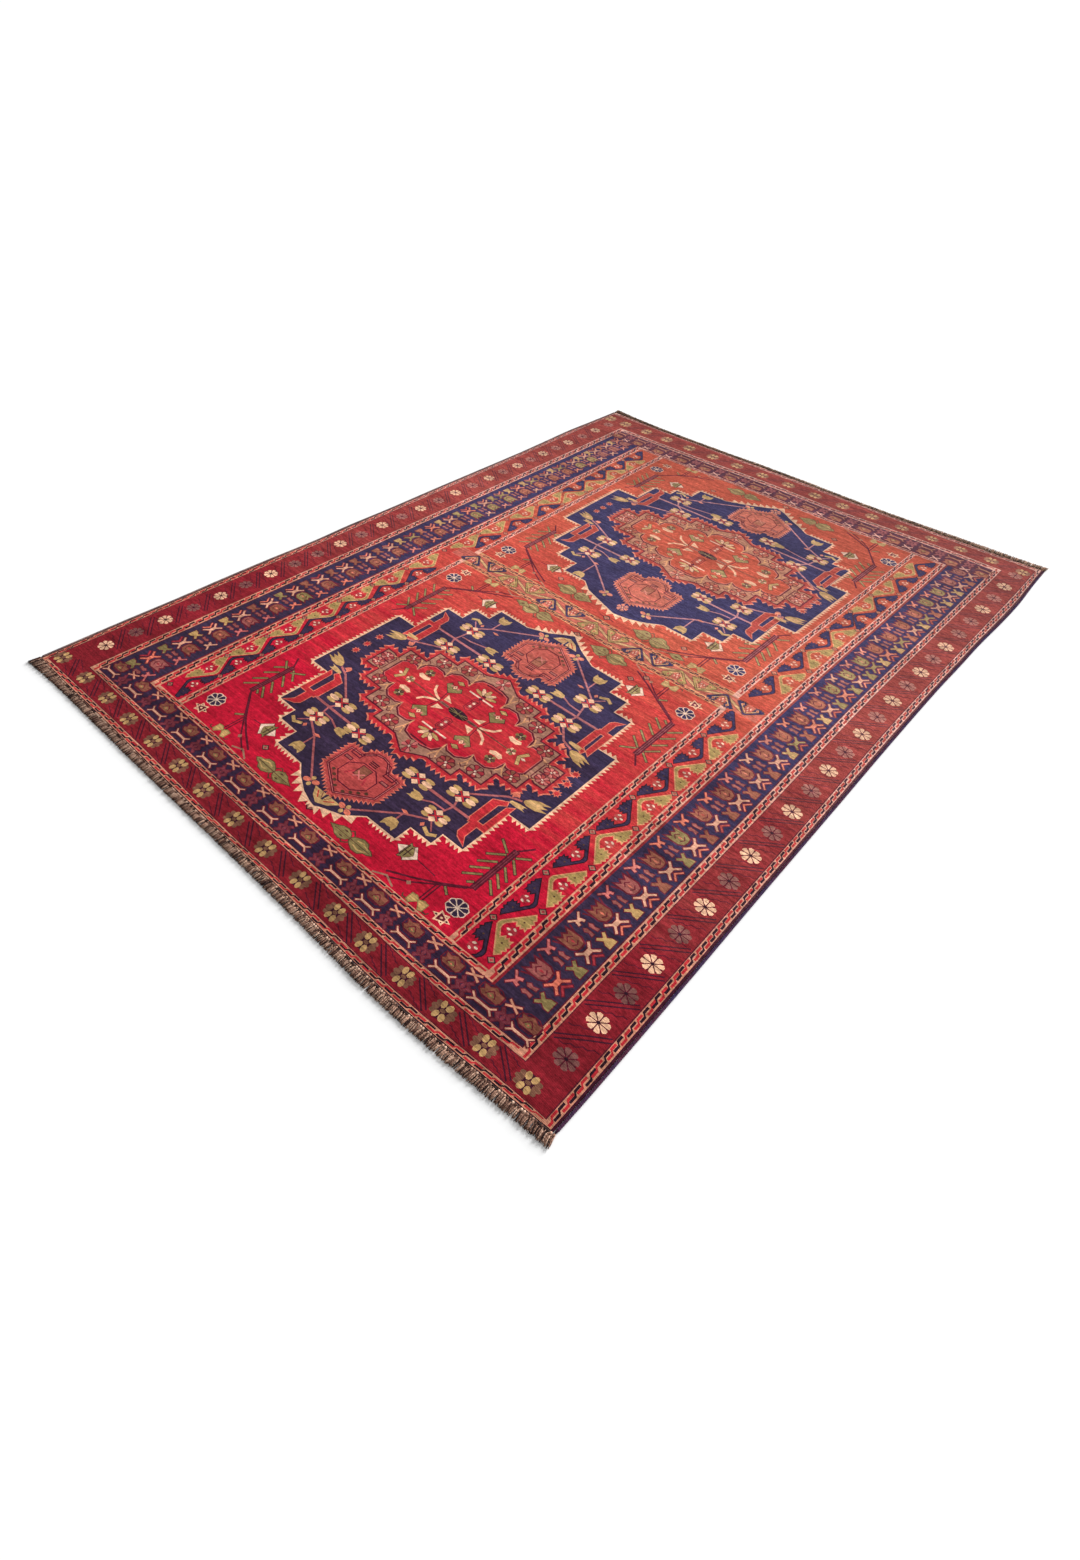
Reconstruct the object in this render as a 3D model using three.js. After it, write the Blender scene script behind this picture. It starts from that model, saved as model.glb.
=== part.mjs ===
// A flat-woven wool village rug lying on a floor, with overcast long edges and a short fringe at each end.
// +X runs along the rug from its near short end to its far short end.
// +Y runs across it from its right long edge to its left long edge.
// +Z is up, and the floor is z = 0. Sizes are in millimetres.
import * as THREE from "three";

// The woven rectangle, before its edges stray.
const LENGTH = 2823;
const WIDTH = 2050;

// Thickness of the weave, which is a dense flat-weave of thick wool.
const CLOTH_THICKNESS = 4;

// Air that is left between two pieces that touch in the real rug.
const GAP = 0.3;

// The cord that is overcast along each long edge.
const SELVEDGE_WIDTH = 8;
const SELVEDGE_HEIGHT = 6;
const SELVEDGE_FLAT = 1.6;

// The row of knots that holds the warp ends, and the warp ends themselves.
const HEADING_WIDTH = 7;
const HEADING_HEIGHT = 5.5;
const LOCKS_PER_END = 150;
const LOCK_WIDTH_AT_ROOT = 10;
const LOCK_WIDTH_AT_MIDDLE = 9;
const LOCK_WIDTH_AT_TIP = 5;
const LOCK_HEIGHT_AT_ROOT = 5;
const LOCK_HEIGHT_AT_MIDDLE = 4.2;
const LOCK_HEIGHT_AT_TIP = 2.2;
const LOCK_MIDDLE = 0.55;
const LOCK_LENGTH_SPREAD = 0.12;
const LOCK_LEAN_SPREAD = 1.2;

// How far the woven piece stays inside its long edges and its short ends.
const EDGE_INSET = SELVEDGE_WIDTH + GAP;
const END_INSET = HEADING_WIDTH + GAP;

// How many straight steps follow each edge.
const STEPS_ALONG = 40;
const STEPS_ACROSS = 50;

// How far the right long edge strays outward from its straight line.
const RIGHT_EDGE = [
  { at: 0, out: 2 },
  { at: 120, out: 3 },
  { at: 450, out: 1.5 },
  { at: 700, out: -1.5 },
  { at: 1150, out: -4.5 },
  { at: 1450, out: -7 },
  { at: 1800, out: -7 },
  { at: 2000, out: -3 },
  { at: 2150, out: -1 },
  { at: 2350, out: 7 },
  { at: 2510, out: 9.5 },
  { at: 2680, out: 4.5 },
  { at: LENGTH, out: 3 },
];

// How far the left long edge strays outward from its straight line.
const LEFT_EDGE = [
  { at: 0, out: 4 },
  { at: 250, out: 5 },
  { at: 450, out: 3 },
  { at: 620, out: 5 },
  { at: 800, out: 4 },
  { at: 1000, out: -1 },
  { at: 1170, out: 3 },
  { at: 1350, out: 0 },
  { at: 1600, out: 2 },
  { at: 2100, out: 1 },
  { at: 2280, out: 5 },
  { at: 2460, out: 10 },
  { at: 2650, out: 5 },
  { at: LENGTH, out: 2 },
];

// How far the near short end strays outward, how long its fringe is there, and how far its tips lean to +Y.
const NEAR_END = [
  { at: 0, out: 4, fringe: 25, lean: -8 },
  { at: 110, out: 12, fringe: 23, lean: -1 },
  { at: 190, out: 17, fringe: 23, lean: 1 },
  { at: 270, out: 23, fringe: 22, lean: 2 },
  { at: 400, out: 28, fringe: 21, lean: -2 },
  { at: 520, out: 28.5, fringe: 21, lean: 0 },
  { at: 690, out: 25, fringe: 20, lean: 3 },
  { at: 820, out: 21.5, fringe: 21, lean: 2 },
  { at: 1000, out: 20, fringe: 20.5, lean: 0 },
  { at: 1250, out: 20, fringe: 19.5, lean: -1 },
  { at: 1500, out: 17, fringe: 21, lean: -3 },
  { at: 1710, out: 13, fringe: 22, lean: 0 },
  { at: 1900, out: 11.5, fringe: 22, lean: 2 },
  { at: WIDTH, out: 6, fringe: 32, lean: 8 },
];

// The same for the far short end.
const FAR_END = [
  { at: 0, out: -8, fringe: 32, lean: -5 },
  { at: 100, out: -14, fringe: 29, lean: 1 },
  { at: 200, out: -18, fringe: 30, lean: 2 },
  { at: 400, out: -23, fringe: 26, lean: -1 },
  { at: 600, out: -28, fringe: 22, lean: -3 },
  { at: 800, out: -27, fringe: 20, lean: 1 },
  { at: 1000, out: -23, fringe: 21, lean: 2 },
  { at: 1250, out: -23, fringe: 21, lean: -2 },
  { at: 1400, out: -28, fringe: 20, lean: -1 },
  { at: 1650, out: -31, fringe: 21, lean: 2 },
  { at: 1800, out: -28, fringe: 19, lean: 0 },
  { at: 1900, out: -25, fringe: 22, lean: 1 },
  { at: WIDTH, out: -18, fringe: 30, lean: 7 },
];

// A smooth value of one column of an edge table, at a place along that edge.
function smooth(table, column, at) {
  const last = table.length - 1;
  const place = Math.min(Math.max(at, table[0].at), table[last].at);
  let low = 0;
  while (low < last - 1 && table[low + 1].at < place) {
    low += 1;
  }
  const slope = (row) => {
    const before = table[Math.max(row - 1, 0)];
    const after = table[Math.min(row + 1, last)];
    return (after[column] - before[column]) / (after.at - before.at);
  };
  const span = table[low + 1].at - table[low].at;
  const t = (place - table[low].at) / span;
  const rise = 3 * t * t - 2 * t * t * t;
  const leave = span * slope(low) * t * (1 - t) * (1 - t);
  const arrive = span * slope(low + 1) * t * t * (1 - t);
  return THREE.MathUtils.lerp(table[low][column], table[low + 1][column], rise) + leave - arrive;
}

const rightEdgeY = (x) => -smooth(RIGHT_EDGE, "out", x);
const leftEdgeY = (x) => WIDTH + smooth(LEFT_EDGE, "out", x);
const nearEndX = (y) => -smooth(NEAR_END, "out", y);
const farEndX = (y) => LENGTH + smooth(FAR_END, "out", y);

// A number from -1 to 1 that looks random and is the same on every run.
function scatter(seed) {
  const wave = Math.sin(seed * 12.9898) * 43758.5453;
  return 2 * (wave - Math.floor(wave)) - 1;
}

// Evenly spaced numbers from one value to another, both included.
function stations(from, to, steps) {
  return Array.from({ length: steps + 1 }, (_, step) => THREE.MathUtils.lerp(from, to, step / steps));
}

// The steps across the rug, without the two corners.
const INNER_CROSS_STATIONS = stations(0, WIDTH, STEPS_ACROSS).slice(1, -1);

// The steps along one long edge, which stop just inside both rows of knots over the width of the edge cord.
function longStations(edge, inside) {
  const from = Math.max(nearEndX(edge), nearEndX(inside)) + END_INSET;
  const to = Math.min(farEndX(edge), farEndX(inside)) - END_INSET;
  return stations(from, to, STEPS_ALONG);
}

// A closed mesh from shared points and the triangles between them.
function meshOf(name, color, roughness, points, triangles) {
  const geometry = new THREE.BufferGeometry();
  geometry.setAttribute("position", new THREE.Float32BufferAttribute(points.flat(), 3));
  geometry.setIndex(triangles.flat());
  geometry.computeVertexNormals();
  const material = new THREE.MeshStandardMaterial({ color, roughness, metalness: 0 });
  const mesh = new THREE.Mesh(geometry, material);
  mesh.name = name;
  return mesh;
}

// A solid that stands on the floor over an outline, with its own height at each corner of it.
function standing(name, color, roughness, outline) {
  const counterClockwise = THREE.ShapeUtils.area(outline) > 0;
  const corners = counterClockwise ? outline : [...outline].reverse();
  const count = corners.length;
  const lower = corners.map((corner) => [corner.x, corner.y, 0]);
  const upper = corners.map((corner) => [corner.x, corner.y, corner.top]);
  const flat = corners.map((corner) => new THREE.Vector2(corner.x, corner.y));
  const triangles = [];
  for (const [a, b, c] of THREE.ShapeUtils.triangulateShape(flat, [])) {
    triangles.push([a, c, b]);
    triangles.push([count + a, count + b, count + c]);
  }
  for (let here = 0; here < count; here += 1) {
    const next = (here + 1) % count;
    triangles.push([here, next, count + next]);
    triangles.push([here, count + next, count + here]);
  }
  return meshOf(name, color, roughness, [...lower, ...upper], triangles);
}

// The woven piece, inside its two edge cords and its two rows of knots.
function makeCloth() {
  const outline = [];
  const add = (x, y) => outline.push({ x, y, top: CLOTH_THICKNESS });
  for (const x of longStations(0, EDGE_INSET)) {
    add(x, rightEdgeY(x) + EDGE_INSET);
  }
  for (const y of INNER_CROSS_STATIONS) {
    add(farEndX(y) - END_INSET, y);
  }
  for (const x of longStations(WIDTH, WIDTH - EDGE_INSET).reverse()) {
    add(x, leftEdgeY(x) - EDGE_INSET);
  }
  for (const y of [...INNER_CROSS_STATIONS].reverse()) {
    add(nearEndX(y) + END_INSET, y);
  }
  return standing("cloth", 0x9a3136, 0.95, outline);
}

// One edge cord: eight sides, flat underneath, following its long edge.
function makeSelvedge(name, color, edgeY, inward) {
  const edge = inward > 0 ? 0 : WIDTH;
  const low = SELVEDGE_FLAT;
  const wide = SELVEDGE_WIDTH;
  const high = SELVEDGE_HEIGHT;
  const section = [
    { across: low, up: 0 },
    { across: wide - low, up: 0 },
    { across: wide, up: low },
    { across: wide, up: high - low },
    { across: wide - low, up: high },
    { across: low, up: high },
    { across: 0, up: high - low },
    { across: 0, up: low },
  ];
  const sides = section.length;
  const points = [];
  const triangles = [];
  const addTriangle = (a, b, c) => triangles.push(inward > 0 ? [a, c, b] : [a, b, c]);
  for (const x of longStations(edge, edge + inward * EDGE_INSET)) {
    for (const corner of section) {
      points.push([x, edgeY(x) + inward * corner.across, corner.up]);
    }
  }
  const lastRing = points.length - sides;
  for (let ring = 0; ring < lastRing; ring += sides) {
    for (let side = 0; side < sides; side += 1) {
      const here = ring + side;
      const next = ring + ((side + 1) % sides);
      addTriangle(here, here + sides, next);
      addTriangle(next, here + sides, next + sides);
    }
  }
  for (let side = 1; side < sides - 1; side += 1) {
    addTriangle(0, side, side + 1);
    addTriangle(lastRing, lastRing + side + 1, lastRing + side);
  }
  return meshOf(name, color, 0.9, points, triangles);
}

// One end's row of knots with its warp ends, which lie on the floor like the teeth of a comb.
function makeFringe(name, color, table, endX, outward) {
  const place = (y, out, top) => ({ x: endX(y) + outward * out, y, top });
  const from = rightEdgeY(outward > 0 ? LENGTH : 0);
  const to = leftEdgeY(outward > 0 ? LENGTH : 0);
  const back = [from, ...INNER_CROSS_STATIONS, to];
  const outline = back.map((y) => place(y, -HEADING_WIDTH, HEADING_HEIGHT));
  const pitch = (to - from) / LOCKS_PER_END;
  for (let lock = LOCKS_PER_END - 1; lock >= 0; lock -= 1) {
    const middle = from + (lock + 0.5) * pitch;
    const length = smooth(table, "fringe", middle) * (1 + LOCK_LENGTH_SPREAD * scatter(lock + 1));
    const lean = smooth(table, "lean", middle) + LOCK_LEAN_SPREAD * scatter(lock + 7);
    const bend = LOCK_MIDDLE * length;
    outline.push(
      place(middle + LOCK_WIDTH_AT_ROOT / 2, 0, LOCK_HEIGHT_AT_ROOT),
      place(middle + LOCK_WIDTH_AT_MIDDLE / 2 + lean / 2, bend, LOCK_HEIGHT_AT_MIDDLE),
      place(middle + LOCK_WIDTH_AT_TIP / 2 + lean, length, LOCK_HEIGHT_AT_TIP),
      place(middle - LOCK_WIDTH_AT_TIP / 2 + lean, length, LOCK_HEIGHT_AT_TIP),
      place(middle - LOCK_WIDTH_AT_MIDDLE / 2 + lean / 2, bend, LOCK_HEIGHT_AT_MIDDLE),
      place(middle - LOCK_WIDTH_AT_ROOT / 2, 0, LOCK_HEIGHT_AT_ROOT),
    );
  }
  return standing(name, color, 0.95, outline);
}

const kilim = new THREE.Group();
kilim.add(makeCloth());
kilim.add(makeSelvedge("selvedge_right", 0x2b2440, rightEdgeY, 1));
kilim.add(makeSelvedge("selvedge_left", 0x4a3d3c, leftEdgeY, -1));
kilim.add(makeFringe("fringe_near", 0x6e5647, NEAR_END, nearEndX, -1));
kilim.add(makeFringe("fringe_far", 0x54453d, FAR_END, farEndX, 1));

// The origin is on the floor, under the middle of the footprint.
const footprint = new THREE.Box3().setFromObject(kilim);
const middle = footprint.getCenter(new THREE.Vector3());
kilim.position.set(-middle.x, -middle.y, 0);

export default kilim;
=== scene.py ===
"""The looks of a flat-woven kilim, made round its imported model.

The pattern is drawn as flat coloured shapes on a true rectangle in millimetres, u along the rug from the
near end and v across it from the right edge. The shapes are laid over each other, bent to the uneven
lines of the hand-woven rug, and cut into one cloth whose every bit keeps the last dye laid on it.
"""
import math
import random

import bpy
import numpy as np
from mathutils import Matrix, Vector
from mathutils.geometry import delaunay_2d_cdt


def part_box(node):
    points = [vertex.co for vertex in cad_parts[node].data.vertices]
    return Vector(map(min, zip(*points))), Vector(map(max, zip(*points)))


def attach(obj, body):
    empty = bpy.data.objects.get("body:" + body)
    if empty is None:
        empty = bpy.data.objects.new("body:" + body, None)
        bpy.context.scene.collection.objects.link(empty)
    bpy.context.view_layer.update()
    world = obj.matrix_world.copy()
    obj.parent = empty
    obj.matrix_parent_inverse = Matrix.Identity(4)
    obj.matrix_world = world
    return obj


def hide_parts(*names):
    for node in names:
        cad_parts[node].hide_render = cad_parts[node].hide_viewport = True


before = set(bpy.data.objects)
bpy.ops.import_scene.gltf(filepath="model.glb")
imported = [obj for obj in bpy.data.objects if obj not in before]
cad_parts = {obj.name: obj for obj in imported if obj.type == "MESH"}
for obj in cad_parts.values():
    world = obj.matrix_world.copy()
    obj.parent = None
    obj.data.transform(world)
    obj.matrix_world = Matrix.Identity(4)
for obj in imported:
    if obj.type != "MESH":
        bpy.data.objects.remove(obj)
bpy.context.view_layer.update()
MM = 0.001

# The rug's own sizes, the same as in the part's source, in millimetres.
LENGTH, WIDTH = 2823, 2050
CLOTH_THICKNESS = 4
EDGE_INSET, END_INSET = 8.3, 7.3
SELVEDGE_WIDTH, SELVEDGE_HEIGHT = 8, 6
HEADING_WIDTH, HEADING_HEIGHT = 7, 5.5
RIGHT_EDGE = (
    (0, 2), (120, 3), (450, 1.5), (700, -1.5), (1150, -4.5), (1450, -7), (1800, -7), (2000, -3),
    (2150, -1), (2350, 7), (2510, 9.5), (2680, 4.5), (LENGTH, 3),
)
LEFT_EDGE = (
    (0, 4), (250, 5), (450, 3), (620, 5), (800, 4), (1000, -1), (1170, 3), (1350, 0), (1600, 2),
    (2100, 1), (2280, 5), (2460, 10), (2650, 5), (LENGTH, 2),
)
# Each row of an end: the place across, how far it bulges, the fringe's length and its lean.
NEAR_END = (
    (0, 4, 25, -8), (110, 12, 23, -1), (190, 17, 23, 1), (270, 23, 22, 2), (400, 28, 21, -2),
    (520, 28.5, 21, 0), (690, 25, 20, 3), (820, 21.5, 21, 2), (1000, 20, 20.5, 0), (1250, 20, 19.5, -1),
    (1500, 17, 21, -3), (1710, 13, 22, 0), (1900, 11.5, 22, 2), (WIDTH, 6, 32, 8),
)
FAR_END = (
    (0, -8, 32, -5), (100, -14, 29, 1), (200, -18, 30, 2), (400, -23, 26, -1), (600, -28, 22, -3),
    (800, -27, 20, 1), (1000, -23, 21, 2), (1250, -23, 21, -2), (1400, -28, 20, -1), (1650, -31, 21, 2),
    (1800, -28, 19, 0), (1900, -25, 22, 1), (WIDTH, -18, 30, 7),
)


def smooth(table, column, at):
    """The table's value at a place or an array of places, on one smooth curve through its rows."""
    rows = np.array(table, dtype=float)
    places, values = rows[:, 0], rows[:, column]
    last = len(places) - 1
    before, after = np.maximum(np.arange(last + 1) - 1, 0), np.minimum(np.arange(last + 1) + 1, last)
    slopes = (values[after] - values[before]) / (places[after] - places[before])
    at = np.clip(np.asarray(at, dtype=float), places[0], places[-1])
    low = np.clip(np.searchsorted(places, at, side="right") - 1, 0, last - 1)
    span = places[low + 1] - places[low]
    t = (at - places[low]) / span
    blend = 3 * t**2 - 2 * t**3
    value = values[low] * (1 - blend) + values[low + 1] * blend
    return value + span * (slopes[low] * t * (1 - t) ** 2 - slopes[low + 1] * t**2 * (1 - t))


def right_edge(x):
    return -smooth(RIGHT_EDGE, 1, x)


def left_edge(x):
    return WIDTH + smooth(LEFT_EDGE, 1, x)


def near_end(y):
    return -smooth(NEAR_END, 1, y)


def far_end(y):
    return LENGTH + smooth(FAR_END, 1, y)


# The woven lines as measured: the line's place on the true rectangle, then where it really lies at each
# of six places along the rug (long lines), or at each of six places across it (short lines).
ALONG_AT = (108, 526, 1027, 1583, 2111, 2584)
LONG_LINES = (
    (35, 31, 34, 36, 41, 33, 24), (137, 136, 137, 137, 140, 131, 121), (161, 158, 161, 161, 163, 152, 144),
    (307, 304, 304, 304, 304, 294, 287), (329, 330, 330, 329, 328, 317, 306),
    (430, 431, 431, 430, 430, 414, 400), (451, 452, 452, 451, 451, 433, 417),
    (1562, 1563, 1563, 1562, 1564, 1572, 1578), (1583, 1587, 1587, 1583, 1584, 1592, 1600),
    (1684, 1684, 1684, 1684, 1684, 1697, 1703), (1710, 1713, 1713, 1712, 1715, 1722, 1728),
    (1874, 1877, 1874, 1873, 1874, 1876, 1884), (1899, 1902, 1902, 1899, 1899, 1904, 1909),
    (2021, 2028, 2024, 2021, 2024, 2028, 2035),
)
ACROSS_AT = (91, 428, 794, 1087, 1497, 1921)
SHORT_LINES = (
    (5, 11, -5, 0, 0, 10, 13), (65, 70, 58, 63, 65, 72, 78), (80, 86, 74, 79, 79, 86, 92),
    (148, 155, 144, 146, 147, 159, 165), (163, 172, 161, 161, 161, 175, 180),
    (1264, 1253, 1254, 1255, 1265, 1282, 1286), (1364, 1350, 1350, 1351, 1365, 1380, 1385),
    (2557, 2565, 2561, 2556, 2559, 2547, 2545), (2572, 2578, 2575, 2575, 2574, 2561, 2559),
    (2653, 2668, 2670, 2651, 2654, 2643, 2640), (2679, 2692, 2694, 2675, 2680, 2668, 2664),
    (2775, 2784, 2773, 2776, 2773, 2779, 2776),
)
CLOTH = (-12, 9, 2793, 2046)


def bent(points):
    """Points on the true rectangle, moved to where the hand-woven lines really lie."""
    u, v = np.array(points, dtype=float).T

    def along_lines(flat, other, lines, stations, first, last):
        marks = [first[0]] + [line[0] for line in lines] + [last[0]]
        woven = [smooth(list(zip(stations, line[1:])), 1, other) for line in lines]
        places = [first[1](other), *woven, last[1](other)]
        gap = np.clip(np.searchsorted(marks, flat, side="right") - 1, 0, len(marks) - 2)
        out = np.zeros_like(flat)
        for i, (low, high) in enumerate(zip(marks, marks[1:])):
            t = (flat - low) / (high - low)
            out = np.where(gap == i, places[i] * (1 - t) + places[i + 1] * t, out)
        return out

    x = along_lines(u, v, SHORT_LINES, ACROSS_AT, (CLOTH[0], lambda y: near_end(y) + END_INSET),
                    (CLOTH[2], lambda y: far_end(y) - END_INSET))
    y = along_lines(v, u, LONG_LINES, ALONG_AT, (CLOTH[1], lambda x: right_edge(x) + EDGE_INSET),
                    (CLOTH[3], lambda x: left_edge(x) - EDGE_INSET))
    return np.column_stack([x, y])


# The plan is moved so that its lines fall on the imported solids.
sides = np.linspace(0, LENGTH, 200)
SHIFT_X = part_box("selvedge_right")[0][0] / MM - float(near_end(0) + END_INSET)
SHIFT_Y = -(float(right_edge(sides).min()) + float(left_edge(sides).max())) / 2

# Dyes in sRGB, at the near end and at the far end, where the wool is more orange and more faded; the far
# colours also carry painted sheen, the lighter, hazier look of the wool seen at a low angle.
DYES_AND_SHEEN = {
    "edge": ((66, 24, 40), (104, 60, 66)),
    "maroon": ((130, 30, 40), (160, 72, 66)),
    "plum": ((88, 24, 40), (112, 50, 60)),
    "wine": ((100, 28, 42), (124, 60, 70)),
    "guard": ((200, 136, 110), (228, 174, 158)),
    "red": ((184, 44, 52), (180, 78, 70)),
    "black": ((44, 22, 34), (80, 52, 62)),
    "navy": ((54, 40, 62), (66, 60, 96)),
    "night": ((52, 34, 56), (96, 60, 76)),
    "field": ((184, 22, 48), (198, 92, 72)),
    "cream": ((230, 180, 146), (230, 182, 150)),
    "ivory": ((208, 152, 126), (214, 160, 136)),
    "tan": ((200, 140, 100), (214, 156, 112)),
    "moss": ((156, 130, 78), (176, 148, 96)),
    "clay": ((146, 80, 76), (174, 112, 102)),
    "yellow": ((190, 150, 100), (212, 166, 122)),
    "olive": ((132, 114, 72), (162, 140, 96)),
    "brown": ((130, 76, 60), (178, 112, 90)),
    "umber": ((124, 84, 66), (170, 122, 100)),
    "salmon": ((212, 112, 90), (222, 140, 116)),
    "pink": ((192, 102, 98), (214, 140, 122)),
    "dusk": ((116, 50, 60), (160, 94, 96)),
    "grey": ((118, 74, 70), (180, 120, 108)),
    "taupe": ((152, 108, 90), (186, 130, 106)),
    "brick": ((162, 50, 58), (196, 106, 88)),
    "white": ((222, 190, 168), (232, 194, 170)),
    "bark": ((84, 56, 44), (130, 88, 72)),
    "gold": ((182, 144, 92), (198, 160, 112)),
    "stem": ((164, 88, 88), (190, 132, 134)),
    "rust": ((176, 70, 68), (202, 114, 96)),
}

# Drawing helpers. A figure is a list of shapes, each a dye and an outline, drawn round its own middle.
INNER_CORNER, SLANTING = -0.3, 0.2
SHARPEST_CORNER, SHARPEST_BEND = 0.6, 0.8


def turned(points, degrees):
    c, s = math.cos(math.radians(degrees)), math.sin(math.radians(degrees))
    return [(x * c - y * s, x * s + y * c) for x, y in points]


def mirrored(*right):
    """A closed outline from its right half, listed from one end of the middle line to the other."""
    return list(right) + [(-x, y) for x, y in reversed(right) if x]


def oval(x, y, wide, high, sides=8, turn=0):
    angles = [math.tau * (i + 0.5) / sides for i in range(sides)]
    ring = [(wide * math.cos(a), high * math.sin(a)) for a in angles]
    return [(x + px, y + py) for px, py in turned(ring, turn)]


def box(x0, y0, x1, y1):
    return [(x0, y0), (x1, y0), (x1, y1), (x0, y1)]


def diamond(x, y, wide, high):
    return [(x + wide, y), (x, y + high), (x - wide, y), (x, y - high)]


def twice_area(points):
    """Twice the area inside an outline, negative where the outline runs clockwise."""
    return sum(a[0] * b[1] - b[0] * a[1] for a, b in zip(points, points[1:] + points[:1]))


def swollen(points, by):
    """The outline pushed outwards by one distance, or inwards by a negative one."""
    side = 1 if twice_area(points) > 0 else -1
    out = []
    for before, here, after in zip(points[-1:] + points[:-1], points, points[1:] + points[:1]):
        one = Vector((here[0] - before[0], here[1] - before[1])).normalized()
        two = Vector((after[0] - here[0], after[1] - here[1])).normalized()
        normal = Vector((one.y + two.y, -one.x - two.x)) * side
        square = max(normal.length_squared, SHARPEST_CORNER)
        out.append((here[0] + 2 * by * normal.x / square, here[1] + 2 * by * normal.y / square))
    return out


def stroke(points, wide):
    """A ribbon of one width along the points."""
    left, right = [], []
    for i, (x, y) in enumerate(points):
        before, after = points[max(i - 1, 0)], points[min(i + 1, len(points) - 1)]
        one = Vector((x - before[0], y - before[1]))
        two = Vector((after[0] - x, after[1] - y))
        one = (one if one.length else two).normalized()
        two = (two if two.length else one).normalized()
        normal = Vector((-one.y - two.y, one.x + two.x))
        offset = normal * wide / max(normal.length_squared, SHARPEST_BEND)
        left.append((x + offset.x, y + offset.y))
        right.append((x - offset.x, y - offset.y))
    return left + right[::-1]


def ribbon(dye, wide, *points):
    return dye, stroke(points, wide)


def toothed(points, pitch, depth, lean=0.5, slant=1.0):
    """The outline with teeth pointing outwards; slanting sides have teeth `slant` times as large."""
    points = points if twice_area(points) > 0 else points[::-1]
    out = []
    count = len(points)
    for i in range(count):
        before, start, end, after = (Vector(points[(i + k) % count]) for k in (-1, 0, 1, 2))
        side = end - start
        way = side.normalized()
        scale = slant if min(abs(way.x), abs(way.y)) > SLANTING else 1
        deep = depth * scale
        normal = Vector((way.y, -way.x))
        trim_start = deep if (start - before).normalized().cross(way) < INNER_CORNER else 0
        trim_end = deep if way.cross((after - end).normalized()) < INNER_CORNER else 0
        room = side.length - trim_start - trim_end
        teeth = max(1, round(room / (pitch * scale)))
        out.append(tuple(start))
        for k in range(teeth):
            foot = start + way * (trim_start + room * k / teeth)
            if k or trim_start:
                out.append(tuple(foot))
            out.append(tuple(foot + way * room / teeth * lean + normal * deep))
        if trim_end:
            out.append(tuple(end - way * trim_end))
    return out


def edged(dye, points, rim, by):
    return [(rim, swollen(points, by)), (dye, points)]


def rimmed(shapes, rim, by):
    """The shapes with one rim under all of them."""
    return [(rim, swollen(points, by)) for _, points in shapes] + shapes


def moved(shapes, x=0, y=0, turn=0, wide=1, high=1):
    """Shapes scaled (a negative scale mirrors them), turned and put in their place."""
    return [(dye, [(x + px, y + py) for px, py in turned([(a * wide, b * high) for a, b in points], turn)])
            for dye, points in shapes]


def spaced(*anchors):
    """A place for every whole step between measured ones, each anchor being (step, place)."""
    steps = range(anchors[0][0], anchors[-1][0] + 1)
    return [float(np.interp(s, [a[0] for a in anchors], [a[1] for a in anchors])) for s in steps]


pattern = []
hand = random.Random(5)
HAND_SIZE, HAND_PLACE = 0.035, 1.4


def lay(shapes, x=0, y=0, turn=0, wide=1, high=1):
    """Put a figure in the pattern, never quite the same twice, as a weaver's hand leaves it."""
    wide *= 1 + hand.uniform(-HAND_SIZE, HAND_SIZE)
    high *= 1 + hand.uniform(-HAND_SIZE, HAND_SIZE)
    x += hand.uniform(-HAND_PLACE, HAND_PLACE)
    y += hand.uniform(-HAND_PLACE, HAND_PLACE)
    pattern.extend(moved(shapes, x, y, turn, wide, high))


# Small flowers and figures that repeat.


def flower(dyes, radius, rim="plum", heart="black", count=8, scalloped=False):
    """A round flower of broad petals; the dyes go round by turns, and a scalloped rim follows the petals."""
    petal = [(radius * a, radius * b * 8 / count) for a, b in
             ((0.15, 0), (0.62, -0.21), (0.9, -0.25), (1, 0), (0.9, 0.25), (0.62, 0.21))]
    petals = [(dyes[i % len(dyes)], turned(petal, 360 * (i + 0.5) / count)) for i in range(count)]
    back = [(rim, oval(0, 0, radius * 0.9, radius * 0.9, count))]
    shapes = rimmed(petals, rim, 2.6) if scalloped else back + petals
    return shapes + [(heart, oval(0, 0, radius * 0.16, radius * 0.16, 6))]


def star(dye, outer, inner):
    """A star of eight points."""
    turns = [(inner if i % 2 else outer, math.pi * i / 8) for i in range(16)]
    return [(dye, [(radius * math.cos(angle), radius * math.sin(angle)) for radius, angle in turns])]


def cross(dye, wide, high, thick):
    return [ribbon(dye, thick, (-wide, y), (0, 0), (wide, y)) for y in (-high, high)]


def blossom(half):
    """A tall flower: three ovals above, crossed petals, three ovals below."""
    shapes = []
    for s in (1, -1):
        shapes += [("gold", oval(x, s * half * 0.62, 7, half * 0.33)) for x in (-13, 13)]
        shapes.append(("cream", oval(0, s * half * 0.64, 8, half * 0.36)))
    shapes = rimmed(shapes, "brown", 0.8)
    shapes += [ribbon("red", 4.5, (-12, -s * 17), (12, s * 17)) for s in (1, -1)]
    return shapes + [("cream", diamond(s * 14, 0, 10, 12.5)) for s in (1, -1)]


def bud(dye="gold"):
    return [(dye, mirrored((0, 10), (6, 8), (12, 14), (13, 0), (8, -12), (0, -14)))]


def tulip():
    body = mirrored((0, 34), (7, 14), (15, 40), (20, 6), (14, -20), (4, -32), (0, -32))
    tongue = mirrored((0, 8), (6, 20), (9, 2), (5, -14), (0, -18))
    return edged("gold", body, "brown", 1) + [("yellow", tongue)]


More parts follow.
